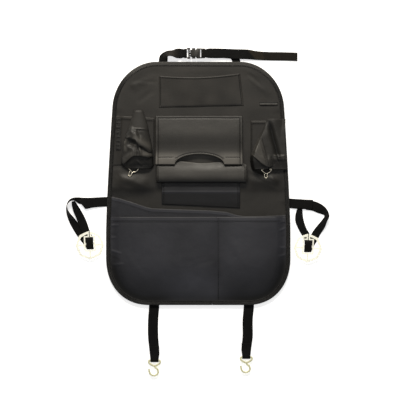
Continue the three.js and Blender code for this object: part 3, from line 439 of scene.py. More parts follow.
def frosted(name, tint, painted_glow):
    """Milky see-through plastic: light goes through it, and an emission paints a glow on it though it is no
    lamp.
    """
    m = Material(name)
    cloud = m.noise(70, 4)
    return m.finish({
        "Base Color": m.blend(cloud, [c * 0.93 for c in tint], tint), "Roughness": 0.3,
        "Transmission Weight": 0.25, "IOR": 1.4, "Emission Color": (*tint, 1), "Emission Strength": painted_glow,
        "Normal": m.bumps((cloud, 0.2, 0.0003)),
    })


def plated(name, colour):
    m = Material(name)
    cloud = m.noise(400, 4)
    return m.finish({
        "Base Color": m.blend(cloud, [c * 0.8 for c in colour], colour), "Metallic": 1, "Roughness": 0.28,
        "Normal": m.bumps((cloud, 0.2, 0.0001)),
    })


UPPER_LEATHER = leather("leather_upper", (0.014, 0.0128, 0.0112), (0.021, 0.0192, 0.0168), 0.5)
LOWER_LEATHER = leather("leather_lower", (0.0158, 0.0163, 0.0203), (0.0226, 0.0233, 0.029), 0.5)
FLAP_LEATHER = leather("leather_flap", (0.016, 0.015, 0.0135), (0.023, 0.0214, 0.0192), 0.46)
CUP_LEATHER = leather("leather_cups", (0.014, 0.0131, 0.0118), (0.022, 0.0206, 0.0184), 0.5)
# The tape's lighter second colour is a painted highlight; the webbing's second colour is a brown.
TAPE = woven(
    "binding_tape", (0.007, 0.0068, 0.0066), (0.012, 0.0116, 0.011), (0.055, 0.053, 0.05),
    pitch=1.1, rough=0.55, specular=0.35)
WEBBING = woven(
    "webbing", (0.003, 0.003, 0.003), (0.0055, 0.0055, 0.0055), (0.022, 0.0175, 0.0125),
    pitch=1.6, rough=0.85, specular=0.15)
THREAD = woven(
    "thread", (0.0012, 0.0012, 0.0012), (0.0025, 0.0025, 0.0025), (0.004, 0.004, 0.004),
    pitch=0.8, rough=0.9, specular=0.05)
BUCKLE = moulded("buckle_plastic", (0.0062, 0.0048, 0.0032), 0.5)
# Both plastics carry a small painted glow.
CLEAR = frosted("frosted_plastic", (0.93, 0.92, 0.82), 0.2)
IVORY = frosted("ivory_plastic", (0.82, 0.8, 0.55), 0.06)
NICKEL = plated("nickel", (0.95, 0.88, 0.72))


def finish_piece(obj, mat, body=BODY, nodes=()):
    obj.data.materials.clear()
    obj.data.materials.append(mat)
    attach(obj, body)
    if nodes:
        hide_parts(*nodes)
    return obj


def cover(obj, mat, node_name):
    """A leather piece in place of its solid."""
    return finish_piece(obj, mat, BODY, [node_name])


# Panel
PANEL_RIDGES = [
    [(-190, 236), (-120, 250), 7, 1.1], [(120, 262), (176, 214), 6, 1.0],
    [(-150, 196), (-110, 228), 6, -0.8], [(112, 284), (146, 262), 4.5, 1.5],
    [(124, 270), (160, 232), 5, -0.9], [(-142, 249), (-98, 249), 2.5, -0.7],
    [(150, 250), (196, 206), 7, 1.0], [(-176, 262), (-146, 226), 8, 0.9],
    [(-112, 214), (-108, 262), 6, -0.6], [(-214, 38), (-182, 27), 7, 1.2],
    [(-205, 6), (-150, -12), 5, -0.8], [(-204, 40), (-184, 6), 4, 0.6],
    [(128, 30), (204, 4), 4, 1.6], [(140, 14), (206, -14), 4, -1.1],
    [(168, 34), (196, -6), 4, 0.9], [(118, 40), (205, -22), 7, 1.3],
    [(-205, 24), (-120, -12), 6, 1.2], [(-120, 20), (-205, -20), 9, -1.1],
]


def panel_piece():
    rows = np.concatenate([
        TOP_Y - EDGE - 120 * (np.linspace(0, 1, 46) ** 1.8),
        np.linspace(TOP_Y - EDGE - 122, -(TOP_Y - EDGE - 122), 120),
        -(TOP_Y - EDGE - 120 * (np.linspace(1, 0, 46) ** 1.8)),
    ])
    k = np.linspace(-1, 1, 150)
    share = np.sign(k) * (1 - (1 - np.abs(k)) ** 1.35)
    y = rows[:, None].repeat(len(k), 1)
    x = share[None, :] * half_width(y, EDGE)
    inset = inset_of(x, y)
    soft = ramp(14, 40, inset) * (1 - ramp(-20, -60, y))
    z = panel_top(x, y)
    z = z + soft * 0.5 * waves(x, y, 85, 3)
    z = z + soft * lines(x, y, PANEL_RIDGES)
    # Painted light and shade in the panel's tone: painted light on the panel seen in the pouch's mouth, along
    # the top edge and over the upper part; painted shade and light round the side ridges and painted shade
    # across the middle; random tone variation on the upper part.
    beside = ramp(100, 118, np.abs(x))
    tone = 0.7 * bump(y, 64, 13) * bump(x, 4, 46)
    tone = tone - mix(0.75, 0.3, ramp(-100, 100, x)) * bump(y + 6 * np.sin(x / 40), -20, 14) * beside
    tone = tone - 0.4 * bump(y, 8, 16) * ramp(100, 118, x)
    tone = tone + 1.0 * bump(x, 3, 40) * bump(y, 66, 9) + 0.16 * waves(x, y, 75, 5) * ramp(40, 60, y)
    tone = tone + 0.5 * bump(y, 279, 7) * bump(x, -10, 90) + 0.15 * bump(y, 236, 60) * bump(x, 0, 90)
    tone = tone - 0.35 * bump(x, -60, 200) * bump(y, -2, 26) * (1 - beside)
    tone = tone - 0.35 * bump(x, 163, 32) * bump(y, 28, 8) - 0.25 * bump(x, -167, 45) * bump(y, -12, 10)
    tone = tone + 0.25 * bump(x, 163, 40) * bump(y, -16, 9)
    face = np.stack([x, y, z], -1)
    back = np.stack([x, y, panel_under(x, y)], -1)
    return grid_mesh("panel_cloth", face, back, tone)


cover(panel_piece(), UPPER_LEATHER, "panel")


# Edge binding
def outline_points(step):
    """Points round the panel's outline from the tape's joint, anticlockwise, evenly spaced."""
    low, high = BOTTOM_CORNER["high"], TOP_CORNER["high"]
    turn = np.linspace(0, math.pi / 2, 60)
    ys = np.concatenate([
        -TOP_Y + low * (1 - np.cos(turn)), np.linspace(-TOP_Y + low, TOP_Y - high, 60)[1:],
        TOP_Y - high + high * np.sin(turn)[1:],
    ])
    right = np.stack([half_width(ys), ys], -1)
    left = np.stack([-half_width(ys), ys], -1)[::-1]
    start, end = [[BINDING_JOINT_X, -TOP_Y]], [[BINDING_JOINT_X - 0.5, -TOP_Y]]
    ring = np.concatenate([start, right, left, end])
    length = np.concatenate([[0], np.cumsum(np.linalg.norm(np.diff(ring, axis=0), axis=1))])
    keep = np.concatenate([[True], np.diff(length) > 1e-6])
    ring, length = ring[keep], length[keep]
    at = np.linspace(0, length[-1], int(length[-1] / step))
    return np.stack([np.interp(at, length, ring[:, 0]), np.interp(at, length, ring[:, 1])], -1), at


def inward(points):
    run = np.gradient(points, axis=0)
    run /= np.linalg.norm(run, axis=1, keepdims=True)
    return np.stack([-run[:, 1], run[:, 0]], -1)


def binding_piece():
    path, at = outline_points(4.0)
    normal = inward(path)
    profile = [
        (11, 1.7), (6, 1.7), (1.5, 1.75), (0.4, 2.3), (0, 3.4), (0, 5.9), (0.45, 7.0), (1.6, 7.5), (4, 7.62),
        (8.6, 7.55), (10.3, 7.3), (11, 6.9),
    ]
    inner = [
        (11, 2.5), (6, 2.5), (1.9, 2.5), (1.1, 2.9), (0.8, 3.6), (0.8, 5.7), (1.1, 6.4), (1.9, 6.7), (4, 6.7),
        (8.6, 6.7), (10.3, 6.7), (11, 6.68),
    ]

    def surface(points, live):
        out = np.zeros((len(path), len(points), 3))
        for i, (inset, z) in enumerate(points):
            ripple = np.sin(at * 2 * math.pi / 9.0 + 0.7 * np.sin(at / 37.0))
            pucker = live * 0.16 * ripple * (inset > 5) * (z > 5)
            sway = live * 0.35 * np.sin(at / 61.0 + 0.4) * (z > 5) * (inset > 8)
            out[:, i, 0] = path[:, 0] + normal[:, 0] * (inset + sway)
            out[:, i, 1] = path[:, 1] + normal[:, 1] * (inset + sway)
            out[:, i, 2] = z + pucker
        return out
    # Painted highlight: along the panel's top edge the tape's outer edge and top face are mixed toward its
    # lighter second colour.
    highlight_and_brown_share = np.array([0, 0, 0, 0, 0.5, 0.9, 1, 1, 1, 1, 0.8, 0.6])
    tone = ramp(236, 290, path[:, 1])[:, None] * highlight_and_brown_share
    return grid_mesh("binding_tape", surface(profile, 1), surface(inner, 0), tone)


finish_piece(binding_piece(), TAPE, BODY, ["edge_binding"])


# Stitches: one small capsule of thread each, sunk a little into the cloth
THREAD_RADIUS = 0.55
THREAD_SINK = 0.15


def stitch_run(name, points, step=4.4, length=3.3):
    points = np.asarray(points, float)
    gaps = np.linalg.norm(np.diff(points, axis=0), axis=1)
    at = np.concatenate([[0], np.cumsum(gaps)])
    count = int(at[-1] / step)
    verts, faces = [], []
    for k in range(count):
        s = (k + 0.5) * step
        a = np.array([np.interp(s - length / 2, at, points[:, i]) for i in range(3)])
        b = np.array([np.interp(s + length / 2, at, points[:, i]) for i in range(3)])
        run = (b - a) / max(1e-6, np.linalg.norm(b - a))
        side = np.cross(run, [0, 0, 1])
        side /= max(1e-6, np.linalg.norm(side))
        up = np.cross(side, run)
        first = len(verts)
        for t, grow, drop in ((0, 0.45, 0.25), (0.2, 1, 0), (0.8, 1, 0), (1, 0.45, 0.25)):
            centre = a + (b - a) * t - up * (THREAD_SINK + drop)
            for q in range(6):
                turn = 2 * math.pi * q / 6
                verts.append(centre + (side * math.cos(turn) + up * math.sin(turn)) * THREAD_RADIUS * grow)
        for ring in range(3):
            for q in range(6):
                a0 = first + ring * 6 + q
                a1 = first + ring * 6 + (q + 1) % 6
                faces.append((a0, a1, a1 + 6, a0 + 6))
        faces.append(tuple(first + q for q in range(5, -1, -1)))
        faces.append(tuple(first + 18 + q for q in range(6)))
    mesh = bpy.data.meshes.new(name)
    mesh.from_pydata((np.array(verts) * MM).tolist(), [], faces)
    uv = mesh.uv_layers.new(name="cloth")
    flat = np.array([[v[0] * MM, v[1] * MM] for v in verts])
    loops = np.empty(len(mesh.loops), dtype=np.int32)
    mesh.loops.foreach_get("vertex_index", loops)
    uv.data.foreach_set("uv", flat[loops].ravel())
    mesh.shade_smooth()
    obj = bpy.data.objects.new(name, mesh)
    bpy.context.scene.collection.objects.link(obj)
    recalc(obj)
    return finish_piece(obj, THREAD)


def line3(a, b, height, count, lift):
    """Points from a to b at a height read from a surface."""
    t = np.linspace(0, 1, count)
    x = mix(a[0], b[0], t)
    y = mix(a[1], b[1], t)
    return np.stack([x, y, height(x, y) + lift], -1)


rim_line, _ = outline_points(3.0)
rim_in = rim_line + inward(rim_line) * 9.0
stitch_run("binding_stitches", np.column_stack([rim_in, np.full(len(rim_in), 7.55)]))


# Big pockets
HEM_ROWS = np.array([0, 0.4, 0.9, 1.5, 2.3, 3.4, 5, 7, 8.6, 9.4, 9.9, 10.4, 10.9, 11.4, 12.2, 13.4])


def pocket_grid(cols, rows, mouth):
    """Rows close together at the mouth and its hem, then even ones down to the binding."""
    low = -(TOP_Y - POCKET_EDGE)
    k = np.linspace(-1, 1, cols)[None, :]
    first = mouth(216 * k)
    even = np.linspace(0, 1, rows + 1)[1:, None]
    y = np.concatenate([first - HEM_ROWS[:, None], mix(first - HEM_ROWS[-1], low, even)])
    x = half_width(y, POCKET_EDGE) * (np.sign(k) * (1 - (1 - np.abs(k)) ** 1.3))
    return x, y, first - y


def rear_piece():
    x, y, depth = pocket_grid(170, 44, lambda x: along(MOUTH, x))
    z = rear_middle(x, y)
    stitched = ramp(8, 14, inset_of(x, y))
    seam_line = bump(depth, REAR_HEM_STITCH, 0.9)
    z = z + (0.35 * ramp(12, 10.5, depth) - 0.3 * seam_line) * stitched
    # Painted light and shade: a painted lighter band just below the mouth, painted shade at the mouth's edge,
    # and darker along the stitch line.
    tone = 0.45 * ramp(1.5, 3.5, depth) * ramp(9, 7, depth) - 0.35 * ramp(1.6, 0, depth) - 0.4 * seam_line
    return level_cloth("rear_pocket_cloth", x, y, z, LEATHER, tone, rolled(depth, 2.8, 0.75))


SIDE_PUCKERS = [
    [(-218, -84), (-200, -78), 2.4, 0.9], [(-218, -104), (-194, -101), 2.6, 1.1],
    [(-218, -122), (-198, -126), 2.6, -0.8], [(-218, -134), (-200, -132), 2.4, 0.9],
    [(-217, -163), (-186, -172), 3, 1.2], [(-217, -176), (-190, -186), 3, -0.9],
    [(-213, -199), (-180, -196), 3, 0.9], [(218, -92), (192, -96), 2.4, 1.0],
    [(218, -108), (196, -116), 2.6, 1.2], [(218, -126), (200, -128), 2.6, -0.8],
    [(218, -158), (197, -156), 2.6, 1.1], [(217, -174), (194, -178), 2.8, 1.0],
]


def front_detail(x, y):
    inset = inset_of(x, y)
    soft = ramp(18, 44, inset) * ramp(0, 16, np.abs(x - DIVIDER_X))
    z = 0.55 * waves(x, y, 95, 12) * soft
    z = z + soft * lines(x, y, [
        [(-190, -150), (-120, -250), 9, 0.5], [(70, -120), (150, -262), 10, 0.6],
        [(52, -176), (-40, -204), 9, -0.9], [(44, -150), (56, -240), 7, 0.7],
    ])
    z = z + ramp(9, 16, inset) * lines(x, y, SIDE_PUCKERS)
    stitched = ramp(8, 14, inset)
    hem = 0.5 * ramp(13.4, 11.4, HEM_Y - y) - 0.35 * bump(HEM_Y - y, HEM_STITCH, 0.9)
    return z + hem * stitched


def front_height(x, y):
    return front_middle(x, y) + np.maximum(front_detail(x, y), -0.1) + 0.05


def front_piece():
    x, y, depth = pocket_grid(230, 120, lambda x: HEM_Y + 0 * x)
    seam_line = bump(x, DIVIDER_X, 1.4) * ramp(1, 3, depth)
    z = front_height(x, y) - 0.15 * seam_line
    # Painted light and shade: a lighter band below the hem and painted shade at its edge, darker along the
    # stitch lines and beside the divider, painted light on the bulges and the puckers' ridges, and painted
    # shade in the lower corners and near the binding.
    tone = 0.3 * ramp(1.5, 3.5, depth) * ramp(9, 7, depth) - 0.3 * ramp(1.6, 0, depth)
    tone = tone - 0.45 * bump(depth, HEM_STITCH, 0.9) - 0.6 * seam_line
    tone = tone + 0.4 * bump(x, -118, 62) * bump(y, -165, 50) + 0.4 * bump(x, 105, 52) * bump(y, -140, 45)
    tone = tone + 0.6 * bump(x, -15, 62) * bump(y, -236, 34) - 0.3 * bump(x, 38, 18) * bump(y, -192, 26)
    tone = tone + 0.14 - 0.7 * ramp(85, 12, inset_of(x, y)) * ramp(-140, -215, y) * ramp(30, 110, np.abs(x))
    tone = tone - 0.45 * ramp(28, 15, inset_of(x, y)) * ramp(-150, -220, y)
    tone = tone + 0.35 * lines(x, y, SIDE_PUCKERS)
    return level_cloth("front_pocket_cloth", x, y, z, LEATHER, tone, rolled(depth, 2.8, 0.75))


cover(rear_piece(), LOWER_LEATHER, "rear_pocket")
cover(front_piece(), LOWER_LEATHER, "front_pocket")
HEM_LINE = line3((-208, HEM_Y - HEM_STITCH), (210, HEM_Y - HEM_STITCH), front_height, 200, 0.6)
DIVIDER_LINE = line3((DIVIDER_X, HEM_Y - 1), (DIVIDER_X, -284), front_height, 120, 0.6)
stitch_run("front_hem_stitches", HEM_LINE)
stitch_run("divider_stitches", DIVIDER_LINE)


# Upper patch pocket
def upper_pocket_piece():
    u, v = grid(170, 80)
    x = mix(-96, 102 + 9 * v, u)
    sag = 7 * np.sin(math.pi * u) * (1 - v)
    y = mix(263 + 6 * u, 185 + 5 * u, v) - sag
    full = 7.4 * np.sin(math.pi * u) ** 0.8 * (1 - v) ** 0.8
    detail = 0.35 * waves(x, y, 60, 21) * np.sin(math.pi * u) * np.sin(math.pi * np.clip(v, 0, 1))
    from_side, from_low = np.minimum(u, 1 - u) * PATCH_WIDTH, (1 - v) * PATCH_HEIGHT
    side_line = bump(from_side, 4, 1.2) * ramp(3, 5, from_low)
    low_line = bump(from_low, 4, 1.2) * ramp(3, 5, from_side)
    sunk = np.maximum.reduce([side_line, low_line, bump(v, 0.05, 0.013)])
    hem = 0.25 * ramp(0.075, 0.055, v)
    z = panel_top(x, y) + LAYER_GAP + LEATHER / 2 + full + detail + hem
    roll = rolled(from_side, 2) + rolled(from_low, 2) + rolled(v * PATCH_HEIGHT, 2.4)
    # The tone: painted light across the bulging middle, random tone variation, and darker along the stitch
    # lines and the hem.
    tone = 0.3 * bump(u, 0.5, 0.4) + 0.25 * waves(x, y, 46, 22) - 0.7 * sunk
    return level_cloth("upper_pocket_cloth", x, y, z, LEATHER, tone, np.minimum(0.75, roll))


cover(upper_pocket_piece(), UPPER_LEATHER, "upper_pocket")


def slot_hem_piece():
    u, v = grid(40, 16)
    x = mix(150, 194, u)
    y = mix(199, 190, v)
    z = panel_top(x, y) + LAYER_GAP + 0.6 + 0.9 * ramp(0.35, 0.6, v) * ramp(1.05, 0.75, v)
    # Painted shadow along the upper part, in the slot's gap, and a painted highlight on the lower lip.
    tone = 0.55 * bump(v, 0.72, 0.14) - 0.9 * ramp(0.5, 0.4, v)
    return level_cloth("slot_hem_cloth", x, y, z, 1.2, tone, rolled((1 - v) * 9, 2.6, 1.0))


cover(slot_hem_piece(), UPPER_LEATHER, "slot_hem")


# Side pocket backings
def backing_piece(name, inner, top, sign, seed):
    u, v = grid(90, 110)
    y = mix(top(u), SIDE_POCKET_BOTTOM, v)
    x = sign * mix(half_width(y, POCKET_EDGE), inner, u)
    z = backing_middle(x, y, inner)
    z = z + 0.3 * waves(x, y, 45, seed) * np.sin(math.pi * u) * (1 - v)
    z = z + 0.35 * ramp(0.09, 0.075, v)
    across, down = (1 - u) * np.abs(half_width(100) - inner), v * 115
    seam_line = np.maximum(bump(across, 3.6, 1.1) * ramp(1, 3, down), bump(down, 7, 1.1) * ramp(3, 5, across))
    # Painted highlight along the top hem; darker along the stitch lines.
    tone = 0.5 * bump(down, 3.2, 1.8) - 0.6 * seam_line
    roll = np.minimum(0.75, rolled(down, 2) + rolled(across, 1.8))
    return level_cloth(name, x, y, z, LEATHER, tone, roll)


LEFT_BACKING = backing_piece("left_backing_cloth", LEFT_BACKING_EDGE, lambda u: mix(166, 160, u), -1, 31)
RIGHT_BACKING = backing_piece("right_backing_cloth", RIGHT_BACKING_EDGE, lambda u: 153 + 0 * u, 1, 32)
cover(LEFT_BACKING, UPPER_LEATHER, "left_pocket_backing")
cover(RIGHT_BACKING, UPPER_LEATHER, "right_pocket_backing")


def elastic_piece():
    u, v = grid(9, 210)
    x = mix(-201, -189, u)
    y = mix(160, 82, v)
    ripple = np.sin(2 * math.pi * 7.5 * v + 0.9 * np.sin(8 * v))
    gather = 0.7 * ripple * np.sin(math.pi * mix(0.08, 0.92, u))
    z = backing_middle(x, y, LEFT_BACKING_EDGE) + LAYER_STEP + 0.85 + gather
    # Painted highlight on the crests of the gathers.
    tone = 0.3 * ramp(0.3, 1, ripple) * ramp(0, 0.2, u) * ramp(1, 0.8, u)
    return level_cloth("elastic_tape", x, y, z, 0.9, tone)


finish_piece(elastic_piece(), TAPE, BODY, ["left_gathered_elastic"])


# Cup pockets
def fold(s, centre, width, reach=3.2):
    """A turned-over fold: how far it is thrown forward, and how far it stands up ahead of that."""
    t = (s - centre) / width
    throw = np.where(np.abs(t) < 1, -np.sin(math.pi * t), 0)
    lift = ramp(-reach, -0.5, t) * (1 - ramp(-0.45, 0.5, t))
    return throw, lift


LEFT_OUTER = [
    [178, 70], [162, 64.5], [140, 57.5], [128, 53.5], [116, 48.5], [99, 44], [82, 41], [69, 39], [57, 37.5],
    [46, 38], [36, 49],
]
LEFT_INNER = [
    [178, 90], [157, 97.5], [140, 102], [128, 104], [116, 107], [99, 110.5], [82, 113.5], [57, 115.5],
    [43, 116.5], [36, 111],
]


def left_cup_piece():
    u, v = grid(124, 196)
    top_y, low_y = LEFT_CUP_SPAN
    length = top_y - low_y
    lip_line = 109 + 5 * bump(u, 0.16, 0.12) - 16 * ramp(0.38, 0.62, u) - 18 * ramp(0.6, 1, u)
    low_line = mix(47, 69, ramp(0, 0.42, u)) - 5 * ramp(0.5, 1, u)
    lip_throw, lip_lift = fold(v, (top_y - lip_line) / length, 0.08, 2.4)
    low_throw, low_lift = fold(v, (top_y - low_line) / length, 0.055)
    y = mix(top_y, low_y, v)
    x = mix(along(LEFT_OUTER, y), along(LEFT_INNER, y), u) - SIDE_X
    round_ = np.sin(math.pi * u) ** mix(0.22, 0.45, ramp(0.2, 0.5, v))
    floor = backing_middle(x, y, LEFT_BACKING_EDGE) + LAYER_STEP
    top = 8 - 1.0 * ramp(0.04, 0, v) + 3 * ramp(0, 0.45, v) - 2 * ramp(0.8, 1, v)
    swirl = 5 * bump(u, 0.27, 0.13) * bump(y, 97, 6) - 2.5 * bump(u, 0.24, 0.12) * bump(y, 85, 7)
    wrinkle = 0.18 * waves(x, y, 24, 41) * ramp(0.25, 0.4, v)
    wrinkle = wrinkle + lines(x, y, [
        [(-160, 133.2), (-127, 131.9), 1.6, 1.1], [(-160, 129.2), (-127, 128), 2.2, -0.6],
        [(-152, 126), (-164, 115), 1.8, 0.6], [(-162, 117), (-112, 79), 4.5, 1.6],
        [(-154, 121), (-114, 92), 4.5, -0.15], [(-150, 104), (-110, 71), 3, -1.6],
        [(-163, 117), (-182, 103), 3, 1.4], [(-181, 105), (-180, 76), 3, 1.2],
        [(-171, 99), (-148, 90), 1.8, 1.6], [(-172, 94), (-150, 83), 2.2, -1.2],
        [(-146, 92), (-138, 71), 2.6, 2.6], [(-151, 92), (-152, 68), 3, -1.8],
        [(-140, 72.8), (-108, 68.6), 2.4, 1.8], [(-184, 52), (-158, 66), 2.5, 1.2],
        [(-180, 60), (-162, 74), 3, 1.2], [(-150, 56), (-136, 42), 2.2, 1.1], [(-132, 58), (-120, 44), 2, 1],
    ])
    z = floor + (top + 9.5 * lip_lift + 6.5 * low_lift - swirl + wrinkle) * round_
    inside = ramp(0, 0.12, u) * ramp(1, 0.9, u)
    forward = (7 * lip_throw + 5.5 * low_throw) * inside
    # Painted light and shade: painted light on the upper cone and painted shade at its crease, highlight and
    # shadow lines along the folds, the turned lip and the rolled rim, painted shade under the lip and at the
    # lower right, and darker at the edges.
    tone = 0.25 * ramp(0.34, 0.3, v) - 0.3 * bump(v, 0.35, 0.02)
    tone = tone - 0.75 * ramp(70, 62, y) * ramp(-168, -150, x + 0.4 * (60 - y))
    tone = tone + lines(x, y - forward, [
        [(-158, 133.1), (-127, 131.9), 1.3, 0.5], [(-151.5, 127), (-163, 115.5), 1.6, 0.35],
        [(-160, 113.5), (-114, 86), 7.5, 2.0], [(-172, 106), (-149, 101), 3.2, -1.1],
        [(-152, 103.5), (-111, 71.5), 3, -0.9], [(-163, 117), (-180, 106), 2.8, 1.3],
        [(-178, 108), (-181, 95), 4, 2.6], [(-181, 95), (-175, 76), 4, 2.4],
        [(-170.5, 103), (-169.3, 95), 1.3, 1.1], [(-169.3, 95.3), (-152, 91.5), 1.3, 1.5],
        [(-152, 91.5), (-149.5, 84), 1.3, 1.1],
        [(-167, 87.5), (-152, 80), 4, -0.9], [(-143.5, 89), (-137.5, 73), 2, 1.3],
        [(-147.5, 97), (-147, 71), 2.2, -1.3], [(-140, 72.5), (-107, 68.5), 3.4, 2.2],
        [(-186, 44), (-112, 44), 4, -0.6], [(-186, 54), (-152, 76), 7, 0.8],
    ])
    rim = np.minimum(u, 1 - u) * 60
    tone = tone - 0.3 * bump(rim, 0, 1.5) - 0.5 * bump(x, -159, 6) * bump(y, 130, 8)
    cloth = np.stack([x, y - forward, z], -1)
    return offset_cloth("left_cup_cloth", cloth, LEATHER, np.clip(tone, -0.9, 2.2))


RIGHT_INNER = [[157, 57], [114, 77], [90, 88], [68, 98], [55, 99], [34, 94.5]]
RIGHT_OUTER = [[157, 12.5], [117, 14.5], [86, 12.5], [60, 10], [42, 8.5], [34, 8]]


def right_cup_piece():
    u, v = grid(124, 170)
    top_y, low_y = RIGHT_CUP_SPAN
    y = mix(top_y, low_y, v)
    x = SIDE_X - mix(along(RIGHT_INNER, y), along(RIGHT_OUTER, y), u)
    hollow_line = 69 - 27 * ramp(0, 0.5, u)
    throw, lift = fold(v, (top_y - hollow_line) / (top_y - low_y), 0.08)
    valley_x = SIDE_X - along([[157, 54], [111, 43], [62, 30], [34, 24]], y)
    valley = -6.5 * bump(x, valley_x, 6.5) * ramp(0, 0.25, v) * ramp(1.05, 0.6, v)
    turned_x = along([[157, 172], [116.4, 150.4], [46.9, 170.5], [34, 174]], y)
    turned = 8 * ramp(120, 52, y) * ramp(turned_x + 1.5, turned_x - 7, x) * ramp(0, 0.08, u)
    opened = 4.6 * np.sin(math.pi * np.minimum(1, u * 1.2)) * ramp(0.5, 0, v)
    body = 12.5 + opened + 7 * ramp(0, 0.1, u) * ramp(-0.1, 0.5, v) * (1 - 0.45 * u) - 3 * ramp(0.8, 1, v)
    flap_ = 2 * ramp(71, 66, y) * ramp(52, 60, y) * ramp(0.62, 0.72, u) * ramp(1, 0.92, u)
    in_front = ramp(0.62, 0.5, u)
    wrinkle = 0.3 * waves(x, y, 26, 44) * ramp(0, 0.1, v) * ramp(0, 0.06, u)
    wrinkle = wrinkle + lines(x, y, [
        [(186, 72), (200, 44), 2.2, 1.4], [(178, 66), (186, 44), 2.5, -1.5],
        [(150, 118), (170, 50), 1.8, 1.6], [(182, 68.8), (206, 63), 1.3, 0.8],
    ])
    z = body + valley + turned + flap_ + 5 * lift * in_front + wrinkle
    forward = 6.5 * throw * in_front * ramp(0, 0.1, u)
    edge_y = along([[124, 69], [170.5, 46.5], [184, 42]], x)
    # Painted light and shade: a painted highlight on the turned-over triangle and along the top edge, painted
    # shadow under the flap's edge and along the valley, highlight and shadow lines on the folds, and painted
    # shade at the lower right.
    tone = 0.8 * ramp(turned_x + 1, turned_x - 1.5, x) * ramp(122, 108, y) * ramp(edge_y - 2, edge_y + 1, y)
    tone = tone - 0.7 * ramp(edge_y + 1, edge_y - 3, y) * ramp(184, 176, x)
    shade = 0.5 * bump(x, valley_x, 6.5) + 0.4 * bump(x, valley_x, 2.5)
    tone = tone - shade * ramp(0, 0.06, v) * ramp(1, 0.7, v)
    tone = tone + 0.7 * bump(v, 0.012, 0.01) * ramp(0.4, 0.5, u)
    tone = tone + lines(x, y - forward, [
        [(151, 118), (170, 50), 1.5, 0.6], [(181, 69), (206, 63.3), 1.2, 0.7],
        [(184, 66), (203, 40), 1.5, 0.5], [(154, 112), (166, 62), 2, -0.5], [(126, 67), (170, 46), 2.2, 0.5],
    ])
    tone = tone - 0.45 * ramp(62, 56, y) * ramp(178, 186, x)
    cloth = np.stack([x, y - forward, z], -1)
    return offset_cloth("right_cup_cloth", cloth, LEATHER, np.clip(tone, -0.9, 2))


cover(left_cup_piece(), CUP_LEATHER, "left_cup_pocket")
cover(right_cup_piece(), CUP_LEATHER, "right_cup_pocket")


# Holder pouch, lower flap and centre flap
def smooth_line(points, v):
    """A Catmull-Rom line through points, read at shares v from 0 to 1."""
    pts = np.asarray(points, float)
    n = len(pts) - 1
    s = np.clip(v, 0, 1) * n
    i = np.minimum(n - 1, np.floor(s).astype(int))
    t = (s - i)[..., None]
    p0, p1 = pts[np.maximum(0, i - 1)], pts[i]
    p2, p3 = pts[i + 1], pts[np.minimum(n, i + 2)]
    return 0.5 * (2 * p1 + (p2 - p0) * t + (2 * p0 - 5 * p1 + 4 * p2 - p3) * t ** 2
                  + (3 * p1 - p0 - 3 * p2 + p3) * t ** 3)


POUCH_SECTION = [
    [57, 11.2], [47, 14.0], [36, 17.2], [25, 19.8], [15, 21.2], [8, 20.6], [3.2, 17.6], [2.4, 13.6],
    [4.4, 9.8], [9, 7.6],
]


def pouch_piece():
    u, v = grid(150, 110)
    section = smooth_line(POUCH_SECTION, v)
    y0, z0 = section[..., 0], section[..., 1]
    x = mix(POUCH_LEFT, POUCH_RIGHT, u)
    end = np.minimum(1, np.sin(math.pi * mix(0.03, 0.97, u)) * 7)
    dip = 5.5 * u + 5 * bump(x, 6, 44) + 6 * ramp(0.94, 1, u)
    lip = -dip * (1 - ramp(0, 0.3, v))
    floor = panel_top(x, y0) + 2 * LAYER_GAP + 1.9
    wrinkle = 0.35 * waves(x, y0, 40, 51) * ramp(0, 0.2, v) * ramp(0.85, 0.6, v)
    z = np.maximum(floor, mix(floor + 5, z0, end)) + wrinkle * end
    from_side = np.minimum(x - POUCH_LEFT, POUCH_RIGHT - x)
    seam_line = bump(from_side, 5, 1.1) * ramp(0.1, 0.16, v) * ramp(0.75, 0.65, v)
    # Painted light on the upper slope and a painted highlight on the lip seen through the arch; painted shade
    # over the lower roll; darker along the stitch lines.
    lit = 0.45 * ramp(0.16, 0.3, v) * ramp(0.5, 0.36, v)
    lit = lit + 2.4 * bump(v, 0.0, 0.035) * ramp(52, 30, np.abs(x - 4))
    dark = 0.55 * ramp(0.5, 0.72, v) + 0.5 * seam_line * ramp(0.6, 0.5, v)
    cloth = np.stack([x, y0 + lip, z], -1)
    return offset_cloth("pouch_cloth", cloth, POUCH_THICKNESS, (1 + lit) * (1 - dark) - 1)


cover(pouch_piece(), FLAP_LEATHER, "holder_pouch")


